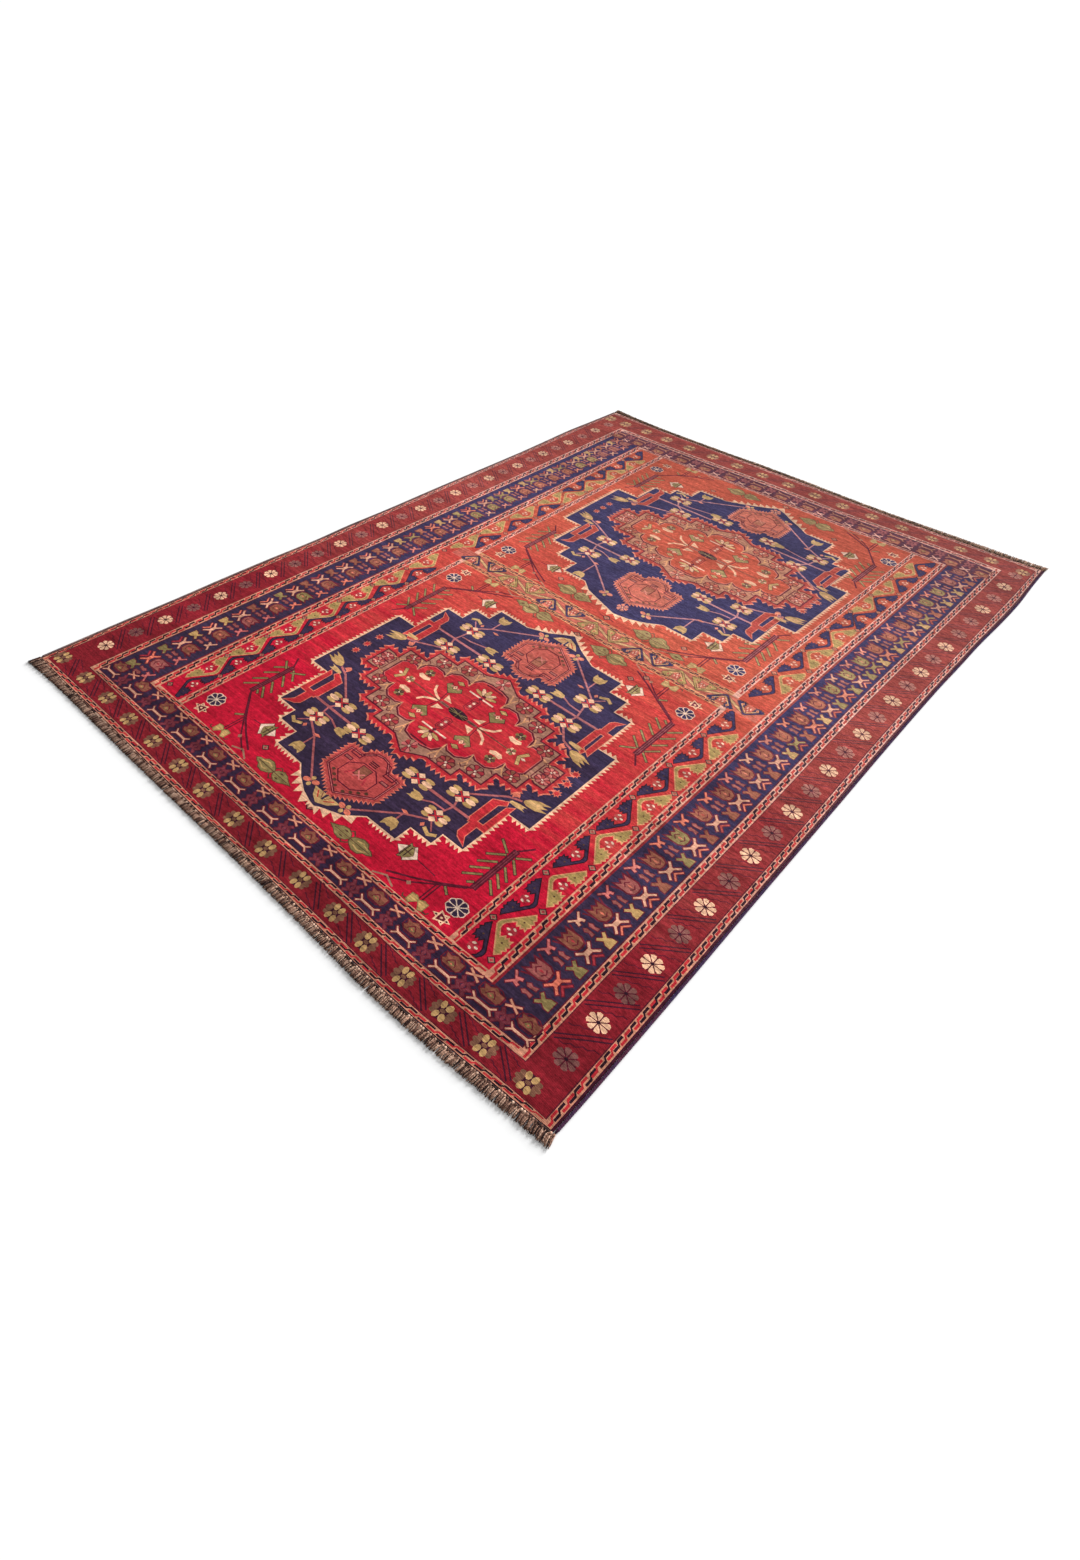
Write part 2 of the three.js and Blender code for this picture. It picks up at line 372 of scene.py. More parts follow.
def field_diamond():
    """A diamond flower: a dark-barred olive body, a white triangle on top and a white chevron below."""
    body = [(-26, 12), (26, 12), (20, 2), (26, -8), (0, -24), (-26, -8), (-20, 2)]
    shapes = edged("olive", body, "black", 1.5)
    for half in (((0, 35), (15, 14), (0, 14)), ((0, -34), (27, -8), (21, -4), (10, -14), (0, -20))):
        shapes += edged("white", mirrored(*half), "plum", 1.2)
    shapes += [("black", box(-20, 8, 20, 11)), ("black", box(-17, -2, 17, 1))]
    return shapes + [("bark", box(-1.5, -14, 1.5, 12))]


def small_diamond(size):
    return [("black", diamond(0, 0, size, size * 1.2)), ("taupe", diamond(0, 0, size * 0.72, size * 0.86)),
            ("brick", diamond(0, 0, size * 0.36, size * 0.4))]


def double_leaf():
    """A long leaf with a curled waist and a second leaf under it."""
    top = mirrored((0, 64), (6, 56), (8, 46), (17, 38), (19, 22), (12, 8), (5, 0), (0, 0))
    low = mirrored((0, -2), (10, -8), (17, -22), (14, -36), (7, -46), (0, -62))
    shapes = [ribbon("bark", 3.5, (s * 4, 6), (s * 14, 0), (s * 21, -9), (s * 14, -17)) for s in (1, -1)]
    shapes += edged("olive", low, "bark", 2) + edged("olive", top, "bark", 2)
    shapes.append(ribbon("bark", 2, (0, 56), (0, -50)))
    shapes += [ribbon("gold", 3, (s * 4, 48), (s * 11, 30), (s * 7, 14)) for s in (1, -1)]
    return shapes + [("bark", diamond(s * 9, -22, 2.5, 7)) for s in (1, -1)]


# The ground of every border, from the outside in.
for dye, u0, v0, u1, v1 in (
        ("edge",) + CLOTH, ("guard", -11, 15, 2792, 2041), ("plum", 4, 34, 2776, 2022),
        ("maroon", 6, 37, 2774, 2019), ("plum", 63, 135, 2681, 1901), ("guard", 65, 137, 2679, 1899),
        ("plum", 80, 161, 2653, 1874), ("night", 82, 164, 2651, 1871), ("maroon", 146, 300, 2574, 1715),
        ("guard", 148, 307, 2572, 1710), ("field", 163, 329, 2557, 1684), ("guard", 163, 430, 2557, 1583),
        ("field", 163, 451, 2557, 1562), ("navy", 146, 164, 2574, 300), ("navy", 146, 1715, 2574, 1871)):
    pattern.append((dye, box(u0, v0, u1, v1)))

HOOK = (
    (-19.5, -6.8), (-2.5, -6.8), (3, 0.8), (19.5, 0.8), (19.5, 6.8), (2.5, 6.8), (-3, -0.8), (-19.5, -0.8),
)
HOOK_PITCH, HOOK_ROOM = 22.5, 20


def guard(u0, v0, u1, v1, wide, pitch=45, dyes=("black", "red")):
    """A narrow stripe of interlocking hooked bars along a line."""
    length = math.hypot(u1 - u0, v1 - v0)
    count = max(2, round(2 * length / pitch))
    long, tall = length / count / HOOK_PITCH, wide / HOOK_ROOM
    turn = math.degrees(math.atan2(v1 - v0, u1 - u0))
    for k in range(1, count):
        t = k / count
        lay([(dyes[k % len(dyes)], HOOK)], u0 + (u1 - u0) * t, v0 + (v1 - v0) * t, turn, long, tall)


for stripe in (
        (-11, 25, 2792, 25, 20), (-11, 2031.5, 2792, 2031.5, 20), (-3.5, 35, -3.5, 2021, 15, 50),
        (2784, 35, 2784, 2021, 16, 50), (65, 149, 2679, 149, 23), (65, 1886.5, 2679, 1886.5, 24),
        (72.5, 161, 72.5, 1874, 14, 50), (2666, 161, 2666, 1874, 24, 50), (148, 318, 2572, 318, 21),
        (148, 1697, 2572, 1697, 25), (155.5, 329, 155.5, 1684, 14, 50), (2564.5, 329, 2564.5, 1684, 14, 50),
        (163, 440.5, 1264, 440.5, 20), (1364, 440.5, 2557, 440.5, 20),
        (163, 1572.5, 1264, 1572.5, 20), (1364, 1572.5, 2557, 1572.5, 20)):
    guard(*stripe)

# The outer border: round flowers along the sides, winged ones across the ends, slanting lines between.
STAIRS = 3
LAST_SLANT = 2600


def slant_lines(reach, rise):
    """A dark slanting line with a maroon one on it, and a stepped outline on each side."""
    line = [(-reach, -rise), (reach, rise)]
    shapes = [("edge", stroke(line, 13)), ("maroon", stroke(line, 6))]
    for side in (1, -1):
        stairs = []
        for k in range(STAIRS + 1):
            t = 0.15 + 0.7 * k / STAIRS
            x, y = side * (-reach + 2 * reach * t), side * (-rise + 2 * rise * t)
            out = side * (12 + 6 * k)
            stairs += [(x - out, y), (x - out, y + side * rise * 1.4 / STAIRS / 2)]
        shapes.append(("plum", stroke(stairs, 2.5)))
    return shapes


right_flowers = spaced((0, 120), (1, 221), (2, 315), (3, 413), (4, 520), (5, 625), (8, 939), (12, 1360),
                       (16, 1770), (19, 2057), (25, 2678))
for k, u in enumerate(right_flowers):
    pale = k % 2 == 1 if k < 20 else k >= 22 and k % 2 == 0
    lay(flower(["cream"] if pale else ["grey"], 26), u, 83, wide=0.93, high=1.1)
    if u < LAST_SLANT:
        lay(slant_lines(34, 46), u + 54, 86, wide=-1)
left_flowers = spaced((0, 146), (8, 931), (17, 1825), (19, 2006), (23, 2363), (26, 2668))
for k, u in enumerate(left_flowers):
    pale = k % 2 == 0 if k < 8 else k > 8 and k % 2 == 1
    lay(flower(["cream"] if pale else ["grey"], 23), u, 1965, high=1.06)
    if k and u < LAST_SLANT:
        lay(slant_lines(30, 40), u - 52, 1963)


def winged_flower():
    """Two pale petals on each side, a brown fan above and below."""
    shapes = [("edge", oval(0, 0, 21, 27, 12))]
    for sy in (1, -1):
        for x, y, tall in ((-10, 18, 9), (10, 18, 9), (0, 21, 10)):
            shapes.append(("umber", oval(x, sy * y, 6.5, tall, turn=-x * sy * 2)))
    for sx in (1, -1):
        for sy in (1, -1):
            shapes.append(("yellow", oval(sx * 13, sy * 8, 9.5, 7, turn=sx * sy * 18)))
    return shapes + [("umber", oval(0, 0, 4.5, 7))]


NEAR_FLOWERS = (105, 220, 331, 450, 573, 684, 816, 949, 1084, 1224, 1348, 1480, 1608, 1732, 1863, 1997)
for k, v in enumerate(NEAR_FLOWERS):
    lay(winged_flower(), 35, v, wide=0.98)
    if k:
        lay(slant_lines(24, 30), 35, (v + NEAR_FLOWERS[k - 1]) / 2)
for v in spaced((0, 69), (15, 1911)) + [2000]:
    lay(winged_flower(), 2727, v, wide=1.05, high=0.95)
    if 100 < v < 1950:
        lay(slant_lines(24, 30), 2727, v - 61, wide=-1)

# The navy border across the ends: a forked bar beside a brown crown, and a comb with a cross between.


def end_unit(pale):
    fork = [ribbon(pale, 5.5, (-16, -20), (-16, 20))]
    for s in (1, -1):
        fork.append(ribbon(pale, 4, (-26, s * 31), (-16, s * 19), (-6, s * 31)))
    shapes = rimmed(fork, "wine", 3)
    crown = [(-13, -22), (-13, 18), (-6, 26), (0, 19), (10, 26), (9, 13), (17, 0), (9, -13), (10, -25),
             (-6, -26)]
    bowl = [("wine", oval(0, 0, 21, 33)), ("night", oval(0, 0, 18, 30))] + edged("brown", crown, "wine", 2.5)
    bowl += [ribbon("wine", 2.5, (-8, 12), (1, 7), (6, 0), (1, -7), (-8, -12)),
             ("olive", diamond(-5, 0, 5, 10)), ("salmon", diamond(-5, 0, 2, 4))]
    return shapes + moved(bowl, 14)


def end_between():
    comb = [ribbon("dusk", 6.5, (-30, s * 16), (-21, s * 6), (-12, s * 16), (-3, s * 6), (6, s * 14))
            for s in (1, -1)]
    shapes = rimmed(comb, "wine", 2) + [("dusk", diamond(-12, 0, 12, 5))]
    return shapes + rimmed(moved(cross("guard", 8, 17, 5), 21), "wine", 2)


NEAR_UNITS = (184, 288, 400, 524, 649, 766, 906, 1037, 1182, 1315, 1448, 1578, 1713, 1837)
for k, v in enumerate(NEAR_UNITS):
    lay(end_unit("ivory"), 114, v)
    if k:
        lay(end_between(), 114, (v + NEAR_UNITS[k - 1]) / 2)
far_units = spaced((0, 183), (14, 1855))
for k, v in enumerate(far_units):
    lay(end_unit("taupe"), 2612, v, wide=-1.15)
    if k:
        lay(end_between(), 2612, (v + far_units[k - 1]) / 2, wide=-1.15)

# The navy border along the sides: shields over crosses, and leaves with a vase between.


def side_unit(pale, body, arch):
    """A crowned shield over a wide cross, with an arch under the cross."""
    crown = mirrored((0, 43), (8, 33), (18, 46), (20, 8), (12, -6), (0, -8))
    horns = [ribbon("wine", 4.5, (s * 20, 8), (s * 23, 30), (s * 31, 48)) for s in (1, -1)]
    shapes = horns + edged(body, crown, "wine", 4.5)
    shapes += [ribbon("wine", 3, (-10, 22), (0, 31), (10, 22)), ribbon("wine", 3, (-10, 8), (0, 1), (10, 8)),
               (arch, diamond(0, 15, 3, 8))]
    figure = [ribbon(pale, 6, (s * 23, -11), (s * 9, -24), (s * 9, -31), (s * 23, -46)) for s in (1, -1)]
    figure.append((pale, box(-10, -34, 10, -21)))
    tail = [ribbon(arch, 4.5, (-17, -57), (0, -42), (17, -57))]
    return rimmed(tail, "wine", 2.5) + rimmed(figure, "wine", 3) + shapes


def side_between(top, low):
    """A cross, a pair of facing leaves and a vase, one under the other."""
    head = [ribbon(top, 5, (-19, 57), (0, 41), (19, 57)),
            ribbon(top, 7, (-9, 30), (-6, 40), (6, 40), (9, 30))]
    shapes = rimmed(head, "wine", 2)
    for s in (1, -1):
        leaf = [(s * 4, 14), (s * 10, 20), (s * 15, 12), (s * 11, 4), (s * 15, -8), (s * 6, -8)]
        shapes += edged("clay", leaf, "wine", 2)
    vase = mirrored((0, -28), (10, -17), (16, -21), (6, -34), (13, -44), (14, -57), (0, -57))
    return shapes + edged(low, vase, "wine", 2.5)


def side_border(units, v, way):
    rng = random.Random(7)
    half = (units[1] - units[0]) / 2
    for k, u in enumerate(units):
        pale = rng.choice(["ivory", "ivory", "salmon", "olive"])
        body = rng.choice(["brown", "clay", "brown", "olive"])
        lay(side_unit(pale, body, rng.choice(["salmon", "brick"])), u, v, high=way)
        between = (u + units[k - 1]) / 2 if k else u - half
        top = rng.choice(["salmon", "ivory", "pink"])
        lay(side_between(top, rng.choice(["olive", "gold", "brown"])), between, v, high=way)


side_border(spaced((0, 236), (11, 1396), (23, 2554)), 232, 1)
side_border(spaced((0, 209), (11, 1356), (16, 1847), (20, 2218), (24, 2548)), 1792, -1)

# The border of tents and troughs next to the field.


def small_flower(size):
    """A brick flower with three pale petals."""
    shapes = [("brick", oval(0, 0, size, size))]
    for x, y, turn in ((-0.62, -0.15, 25), (0.62, -0.15, -25), (0, 0.75, 0)):
        shapes.append(("white", oval(size * x, size * y, size * 0.24, size * 0.42, 6, turn)))
    return shapes


def trimmed(points, least):
    """The part of an outline on the far side of a line across it."""
    out = []
    for (x0, y0), (x1, y1) in zip(points, points[1:] + points[:1]):
        if x0 >= least:
            out.append((x0, y0))
        if (x0 < least) != (x1 < least):
            out.append((least, y0 + (y1 - y0) * (least - x0) / (x1 - x0)))
    return out


def tent(dye, rim, high):
    """A tent on two stepped feet, from its base line, with a small flower under its roof."""
    half = ((0, 57), (6, 56), (70, 9), (60, 1), (54, 5), (48, -2), (42, 3), (36, -2), (30, 3), (22, 1),
            (28, 7), (21, 12), (28, 17), (21, 22), (31, 30), (10, 47), (0, 49))
    shapes = edged(dye, mirrored(*((x, y * high / 57) for x, y in half)), rim, 3.2)
    return shapes + [("bark", oval(s * 38, 16, 2.5, 3, 6)) for s in (1, -1)] + moved(small_flower(13), 0, 20)


def tent_border(v, way, troughs, tents, swap_from):
    """Troughs hang from the field side and tents stand on the outer side; far along they trade dyes."""
    for u in troughs:
        dye = ("navy", "black") if u < swap_from else ("moss", "tan")
        figure = [(d, trimmed(points, 167 - u)) for d, points in tent(*dye, 52)]
        lay([s for s in figure if s[1]], u, v + way * 39, high=-way)
    for u in tents:
        dye = ("moss", "tan") if u < swap_from else ("navy", "black")
        lay(tent(*dye, 57), u, v - way * 41, high=way)
    lay(small_diamond(11), 185, v - way * 36)
    for a, b in zip(troughs, troughs[1:]):
        if b - a < 230:
            lay(small_diamond(11), (a + b) / 2, v + way * 36)
    for a, b in zip(tents, tents[1:]):
        if b - a < 230:
            lay(small_diamond(11), (a + b) / 2, v - way * 36)


tent_border(379.5, 1, [185, 356, 541, 710, 877, 1046, 1215, 1448, 1618, 1787, 1946, 2092, 2243, 2415],
            [268, 444, 623, 797, 963, 1130, 1530, 1704, 1860, 2009, 2161, 2332, 2484], 1960)
tent_border(1633.5, -1, spaced((0, 234), (6, 1101)) + [1440, 1623, 1797, 1960, 2110, 2260, 2400],
            spaced((0, 306), (5, 1010)) + [1172, 1375, 1530, 1705, 1880, 2036, 2190, 2330, 2470], 1900)

# The middle band: tents from both of its sides by turns, two navy and two yellow, between narrow guards.
pattern.append(("tan", box(1264, 451, 1364, 1562)))
pattern.append(("rust", box(1283, 335, 1345, 1640)))
for u in (1273, 1355):
    guard(u, 451, u, 1562, 17, 36, ("black", "brick"))
band_tents = spaced((0, 1548), (3, 1264), (8, 790), (12, 464), (13, 382))
for dye, wide in (("bark", 13), ("yellow", 9)):
    pattern.append((dye, stroke([(1314 + 19 * (-1) ** k, v) for k, v in enumerate(band_tents)], wide)))
for k, v in enumerate(band_tents):
    figure = tent("navy", "bark", 57) if k % 4 < 2 else tent("moss", "bark", 57)
    figure += [ribbon("yellow", 4, (-46, 13), (0, 45), (46, 13)), ("black", diamond(0, 41, 4, 4))]
    for x in (-38, 38):
        figure += [("tan", diamond(x, 12, 8, 8)), ("brick", diamond(x, 12, 5, 5))]
    side = 1 if k % 2 else -1
    lay(figure, 1314 + side * 31, v, turn=side * 90, wide=0.64, high=0.98)

# The field's corners: a branch with slanting leaf bars, a navy flower and a pale star.


def leaf_bar(x0, y0, x1, y1):
    return edged("olive", stroke([(x0, y0), (x1, y1)], 5.5), "black", 1.6)


def six_star():
    """A pale six-pointed star of two triangles, with dark chips inside."""
    shapes = []
    for s in (1, -1):
        ring = [(0, s * 28), (17, -s * 13), (-17, -s * 13)]
        shapes += [("cream", ring), ("wine", swollen(ring, -3.6))]
    return shapes + [ribbon("cream", 3, (-15, s * 12), (15, s * 12)) for s in (1, -1)] + [
        ("cream", oval(0, 0, 3.5, 4, 6))] + [("black", oval(0, s * 17, 2.4, 3.4, 6)) for s in (1, -1)]


def corner(branch, ends, blue, pale, drop, tie, bars):
    """Everything in a corner of the field, from the corner itself, x along the rug and y across it.

    branch is the height of the leafy branch and ends its two ends; blue, pale and drop are the places of
    the navy flower, the pale star and the diamond flower; tie is the height of the leaf at the border;
    bars are the places of the leaf bars along the branch.
    """
    start, end = ends
    shapes = [ribbon("plum", 19, (start, branch), (end, branch)),
              ribbon("dusk", 9, (start, branch), (end, branch))]
    for wide, *path in (
            (3.5, (start + 6, branch), (end - 6, branch)), (6, (end - 2, branch), (end + 36, branch - 28)),
            (6, (start + 4, branch - 2), (92, tie + 2), (60, tie + 55), (28, tie + 118)),
            (5, (start - 8, branch + 10), (80, tie + 10), (44, tie + 55), (14, tie + 110)),
            (4, (26, tie + 4), (92, tie + 4)), (4, (26, tie - 5), (96, tie - 5)),
            (3, (drop[0] - 4, tie + 24), (drop[0], drop[1] - 30))):
        shapes.append(ribbon("plum", wide, *path))
    for x in bars:
        shapes += leaf_bar(x, branch + 50, x + 31, branch + 12)
        shapes += leaf_bar(x, branch - 44, x + 31, branch - 12)
    for bar in ((end - 22, branch + 14, end + 4, branch + 52), (end - 20, branch - 12, end + 4, branch - 42),
                (start + 6, branch + 24, start + 17, branch + 11), (80, tie - 34, 95, tie - 14)):
        shapes += leaf_bar(*bar)
    shapes += moved(field_diamond(), *drop) + moved([("taupe", diamond(0, 0, 7, 8))], 42, tie + 54)
    for s in (1, -1):
        lobe = [(x, tie + s * y) for x, y in ((22, 0), (30, 12), (28, 25), (7, 25), (4, 16), (14, 8))]
        shapes += edged("gold", lobe, "olive", 2.5)
        shapes.append(ribbon("bark", 3.5, (14, tie + s * 42), (6, tie + s * 38), (6, tie + s * 28)))
    shapes += [ribbon("taupe", 5, (3, tie + 140), (20, tie + 106), (6, tie + 72))]
    shapes += moved(flower(["navy"], 29, rim="white", heart="white", scalloped=True), *blue, wide=0.84)
    return shapes + moved(six_star(), *pale)


for u, v, wide, high, shape in (
        (163, 451, 1, 1, (54, (135, 295), (71, 41), (26, 47), (103, 241), 118, (152, 178, 205, 236))),
        (163, 1562, 1, -1, (82, (165, 312), (76, 48), (28, 50), (108, 260), 172, (170, 200, 238, 272))),
        (1264, 451, -1, 1, (58, (150, 330), (90, 57), (38, 57), (110, 228), 163, (165, 200, 238, 272))),
        (1264, 1562, -1, -1, (82, (150, 330), (90, 56), (38, 62), (110, 262), 174, (165, 205, 240, 278))),
        (1364, 451, 1, 1, (62, (150, 345), (95, 56), (45, 50), (150, 172), 150, (166, 200, 232, 272))),
        (1364, 1562, 1, -1, (86, (150, 330), (90, 56), (42, 58), (120, 255), 170, (166, 205, 240, 278))),
        (2557, 451, -1, 1, (52, (185, 345), (126, 28), (64, 40), (186, 148), 120, (205, 238, 270, 300))),
        (2557, 1562, -1, -1, (82, (170, 335), (122, 48), (60, 62), (188, 192), 160, (190, 222, 254, 286)))):
    lay(corner(*shape), u, v, wide=wide, high=high)
for u, v in ((196, 1155), (194, 828), (1236, 1161), (1230, 842), (1416, 1145), (1404, 798), (2506, 1135),
             (2500, 808)):
    lay(double_leaf(), u, v, high=1.2 if v > 1000 else -1.2, wide=1.45 if u > 1200 else 1.1)
for u, v in ((233, 1246), (1236, 1228), (1226, 688), (1190, 720), (1450, 1240), (1440, 690), (2440, 1240),
             (2440, 700)):
    lay(small_diamond(12), u, v)
for u, v in ((1385, 684), (1238, 1228)):
    lay(edged("olive", diamond(0, 0, 15, 29), "bark", 3) + [("bark", diamond(0, 0, 4, 9))], u, v)
for u, v in ((190, 985), (1243, 985), (1385, 975), (2535, 960)):
    stems = [ribbon("plum", 3, (0, 30), (0, 14)), ribbon("plum", 3, (0, -14), (0, -30))]
    lay(small_diamond(14) + stems, u, v)

# The medallions.


def bracket(high):
    """A hull with a mast and a bar above it, from the top of its stem, its short side outwards."""
    hull = [(-90, 0), (-5, 0), (6, 13), (48, 13), (60, 24), (74, 58), (50, 38), (6, 38), (-5, 25), (-84, 25),
            (-98, 44), (-110, 38)]
    parts = [("red", [(x, y * high / 66) for x, y in hull]), ("red", box(-7, 6, 7, high)),
             ("red", [(-92, high - 16), (0, high - 18), (0, high), (-104, high)])]
    return rimmed(parts, "salmon", 2.5)


def pendant():
    """A hexagonal drop with a flame edge and lines one inside the other, its point to the left."""
    upper = [(100, 0), (95, 28), (66, 56), (64, 108), (-34, 108), (-98, 0)]
    drop = upper + [(x, -y) for x, y in reversed(upper[1:-1])]
    shapes = [("salmon", toothed(drop, 12, 12, 0.75)), ("rust", toothed(swollen(drop, -3), 12, 10, 0.75)),
              ("plum", swollen(drop, -8)), ("pink", swollen(drop, -10.5)), ("plum", swollen(drop, -12.5)),
              ("rust", swollen(drop, -16))]
    eye = oval(-6, 0, 50, 64)
    shapes += [("plum", eye), ("rust", swollen(eye, -3.5)), ("plum", box(-6, -20, 34, 20)),
               ("brown", box(-4, -17, 32, 17))]
    for s in (1, -1):
        shapes += [ribbon("plum", 4, (60, s * 84), (42, s * 84), (42, s * 48), (62, s * 48)),
                   ribbon("plum", 2.5, (48, s * 60), (78, s * 40), (86, 0)),
                   ("plum", box(18, s * 58, 30, s * 88)), ("clay", box(21, s * 61, 27, s * 85))]
        shapes += [("bark", oval(-66 + 12 * k, s * (16 + 17 * k), 5, 7, 6)) for k in range(4)]
        shapes += [ribbon("brick", 6, (-20, s * 36), (4, s * 24))]
    shapes += [("black", box(44 + 6 * k, -15, 47.5 + 6 * k, 15)) for k in range(3)]
    return shapes + cross("pink", 11, 13, 4)


def four(quarter):
    """A closed outline from its first quarter, listed from the side to the top, mirrored both ways."""
    upper = list(quarter) + [(-x, y) for x, y in reversed(quarter)]
    lower = [(x, -y) for x, y in reversed(upper)]
    return upper + (lower[1:-1] if quarter[0][1] == 0 else lower)


def rosette():
    """The great flower in a medallion's middle."""
    flame = four([(232, 0), (194, 66), (194, 176), (160, 176), (160, 257), (102, 257), (102, 333), (56, 333),
                  (56, 388)])
    band = four([(214, 0), (178, 66), (178, 161), (145, 161), (145, 243), (87, 243), (87, 319), (28, 319),
                 (41, 342), (41, 374)])
    heart = four([(158, 20), (150, 52), (128, 66), (104, 68), (120, 88), (122, 118), (106, 142), (80, 150),
                  (92, 172), (92, 206), (76, 228), (42, 234), (52, 250), (52, 276), (36, 296)])
    shapes = [("salmon", toothed(flame, 19, 15, 0.7)), ("red", toothed(swollen(flame, -3), 19, 12, 0.7)),
              ("plum", swollen(band, 5)), ("taupe", band), ("plum", swollen(heart, 7.5)),
              ("pink", swollen(heart, 2)), ("field", heart)]
    for sx in (1, -1):
        shapes += moved(flower(["taupe", "brick", "pink"], 25, heart="white", count=9), sx * 186, 0, wide=1.1)
        shapes += [("plum", box(sx * 152 - 2.5, -34, sx * 152 + 2.5, 34))]
        hexagon = [(30, 0), (22, 15), (-22, 15), (-30, 0), (-22, -15), (22, -15)]
        shapes += moved([("plum", hexagon), ("field", swollen(hexagon, -2.4)), ("plum", box(-19, -9, 19, 9)),
                         ("brick", box(-17, -7, 17, 7)), ("white", diamond(-8, 0, 5, 6)),
                         ("white", diamond(8, 0, 5, 6))], sx * 56, 0)
        shapes += [("white", box(sx * 94 - 2.8, -50, sx * 94 + 2.8, 50)), ("plum", diamond(sx * 92, 0, 8, 8))]
        fan = []
        for k, dye in enumerate(("gold", "cream", "yellow", "cream", "gold")):
            fan += edged(dye, turned(oval(18, 0, 15, 5.5, 6), 70 - 35 * k), "plum", 1.2)
        shapes += moved(fan + [("plum", oval(2, 0, 5, 6, 6))], sx * 104, 0, wide=sx * 1.1, high=1.4)
        for sy in (1, -1):
            for x, y, size, wide, dyes in (
                    (157, 119, 24, 0.95, ("brown", "brick")), (124, 200, 23, 0.95, ("brick", "taupe")),
                    (68, 282, 22, 0.95, ("brown", "brick")), (18, 350, 21, 0.8, ("brick", "pink"))):
                figure = flower(dyes, size, heart="white", scalloped=True)
                figure.append(("white", oval(9, 5, 4, 3.5, 6)))
                shapes += moved(figure, sx * x, sy * y, wide=sx * wide, high=sy * 1.15)
            for x0, y0, x1, y1 in (
                    (108, 69, 172, 72), (84, 152, 138, 160), (46, 238, 84, 246), (42, 300, 34, 322)):
                x, y = (x0 + x1) / 2, (y0 + y1) / 2 + 2
                for line in ([(x0, y0), (x, y)], [(x, y), (x1, y1 + 13)], [(x, y), (x1, y1 - 13)]):
                    shapes.append(ribbon("tan", 4.5, *((sx * a, sy * b) for a, b in line)))
            for x, y in ((178, 78), (139, 158), (100, 240), (40, 322)):
                path = ((x - 14, y + 10), (x, y), (x - 8, y - 12))
                shapes.append(ribbon("plum", 3, *((sx * a, sy * b) for a, b in path)))
            part = [ribbon("cream", 7.5, (3, 84), (9, 103), (22, 126), (42, 138)),
                    ("cream", [(12, 76), (38, 80), (16, 46)]),
                    ribbon("plum", 3, (4, 84), (36, 90), (46, 92)),
                    ("cream", [(38, 218), (29, 207), (29, 185), (38, 170), (47, 176), (44, 194), (47, 212)])]
            arrow = edged("olive", [(-26, 0), (0, -31), (13, -21), (-6, 0), (13, 21), (0, 31)], "black", 2)
            arrow += [("pink", diamond(5, s * 12, 5, 6)) for s in (1, -1)]
            arrow += edged("cream", diamond(5, 0, 9, 8), "plum", 1.2) + [("brick", diamond(5, 0, 3, 3))]
            part += moved(arrow + edged("gold", diamond(30, 0, 8, 15), "black", 1.8), 68, 91)
            figure = flower(["olive", "bark"], 16, rim="black", heart="white", count=6)
            part += moved(figure, 62, 194, high=1.15)
            shapes += [(dye, [(sx * x, sy * y) for x, y in points]) for dye, points in part]
    for sy in (1, -1):
        part = edged("gold", mirrored((0, 240), (28, 256), (24, 266), (0, 252)), "black", 1.5)
        part.append(("white", diamond(0, 262, 5, 9)))
        part += moved(flower(["olive", "cream"], 15, rim="black", heart="brick", count=6), 0, 216)
        part += [("bark", box(-2, 42, 2, 200)), ("grey", box(-5, 40, 5, 76)), ("bark", box(-2, 42, 2, 70)),
                 ("plum", box(-3, 322, 3, 345)), ("plum", box(-30, 316, 30, 320))]
        shapes += [(dye, [(x, sy * y) for x, y in points]) for dye, points in part]
    shapes += [("black", oval(0, 0, 17, 39, 12))]
    for turn in (0, 30, 90, 150):
        x, y = 16 * math.sin(math.radians(turn)), 37 * math.cos(math.radians(turn))
        shapes.append(ribbon("olive", 1.5, (-x, -y), (x, y)))
    return shapes


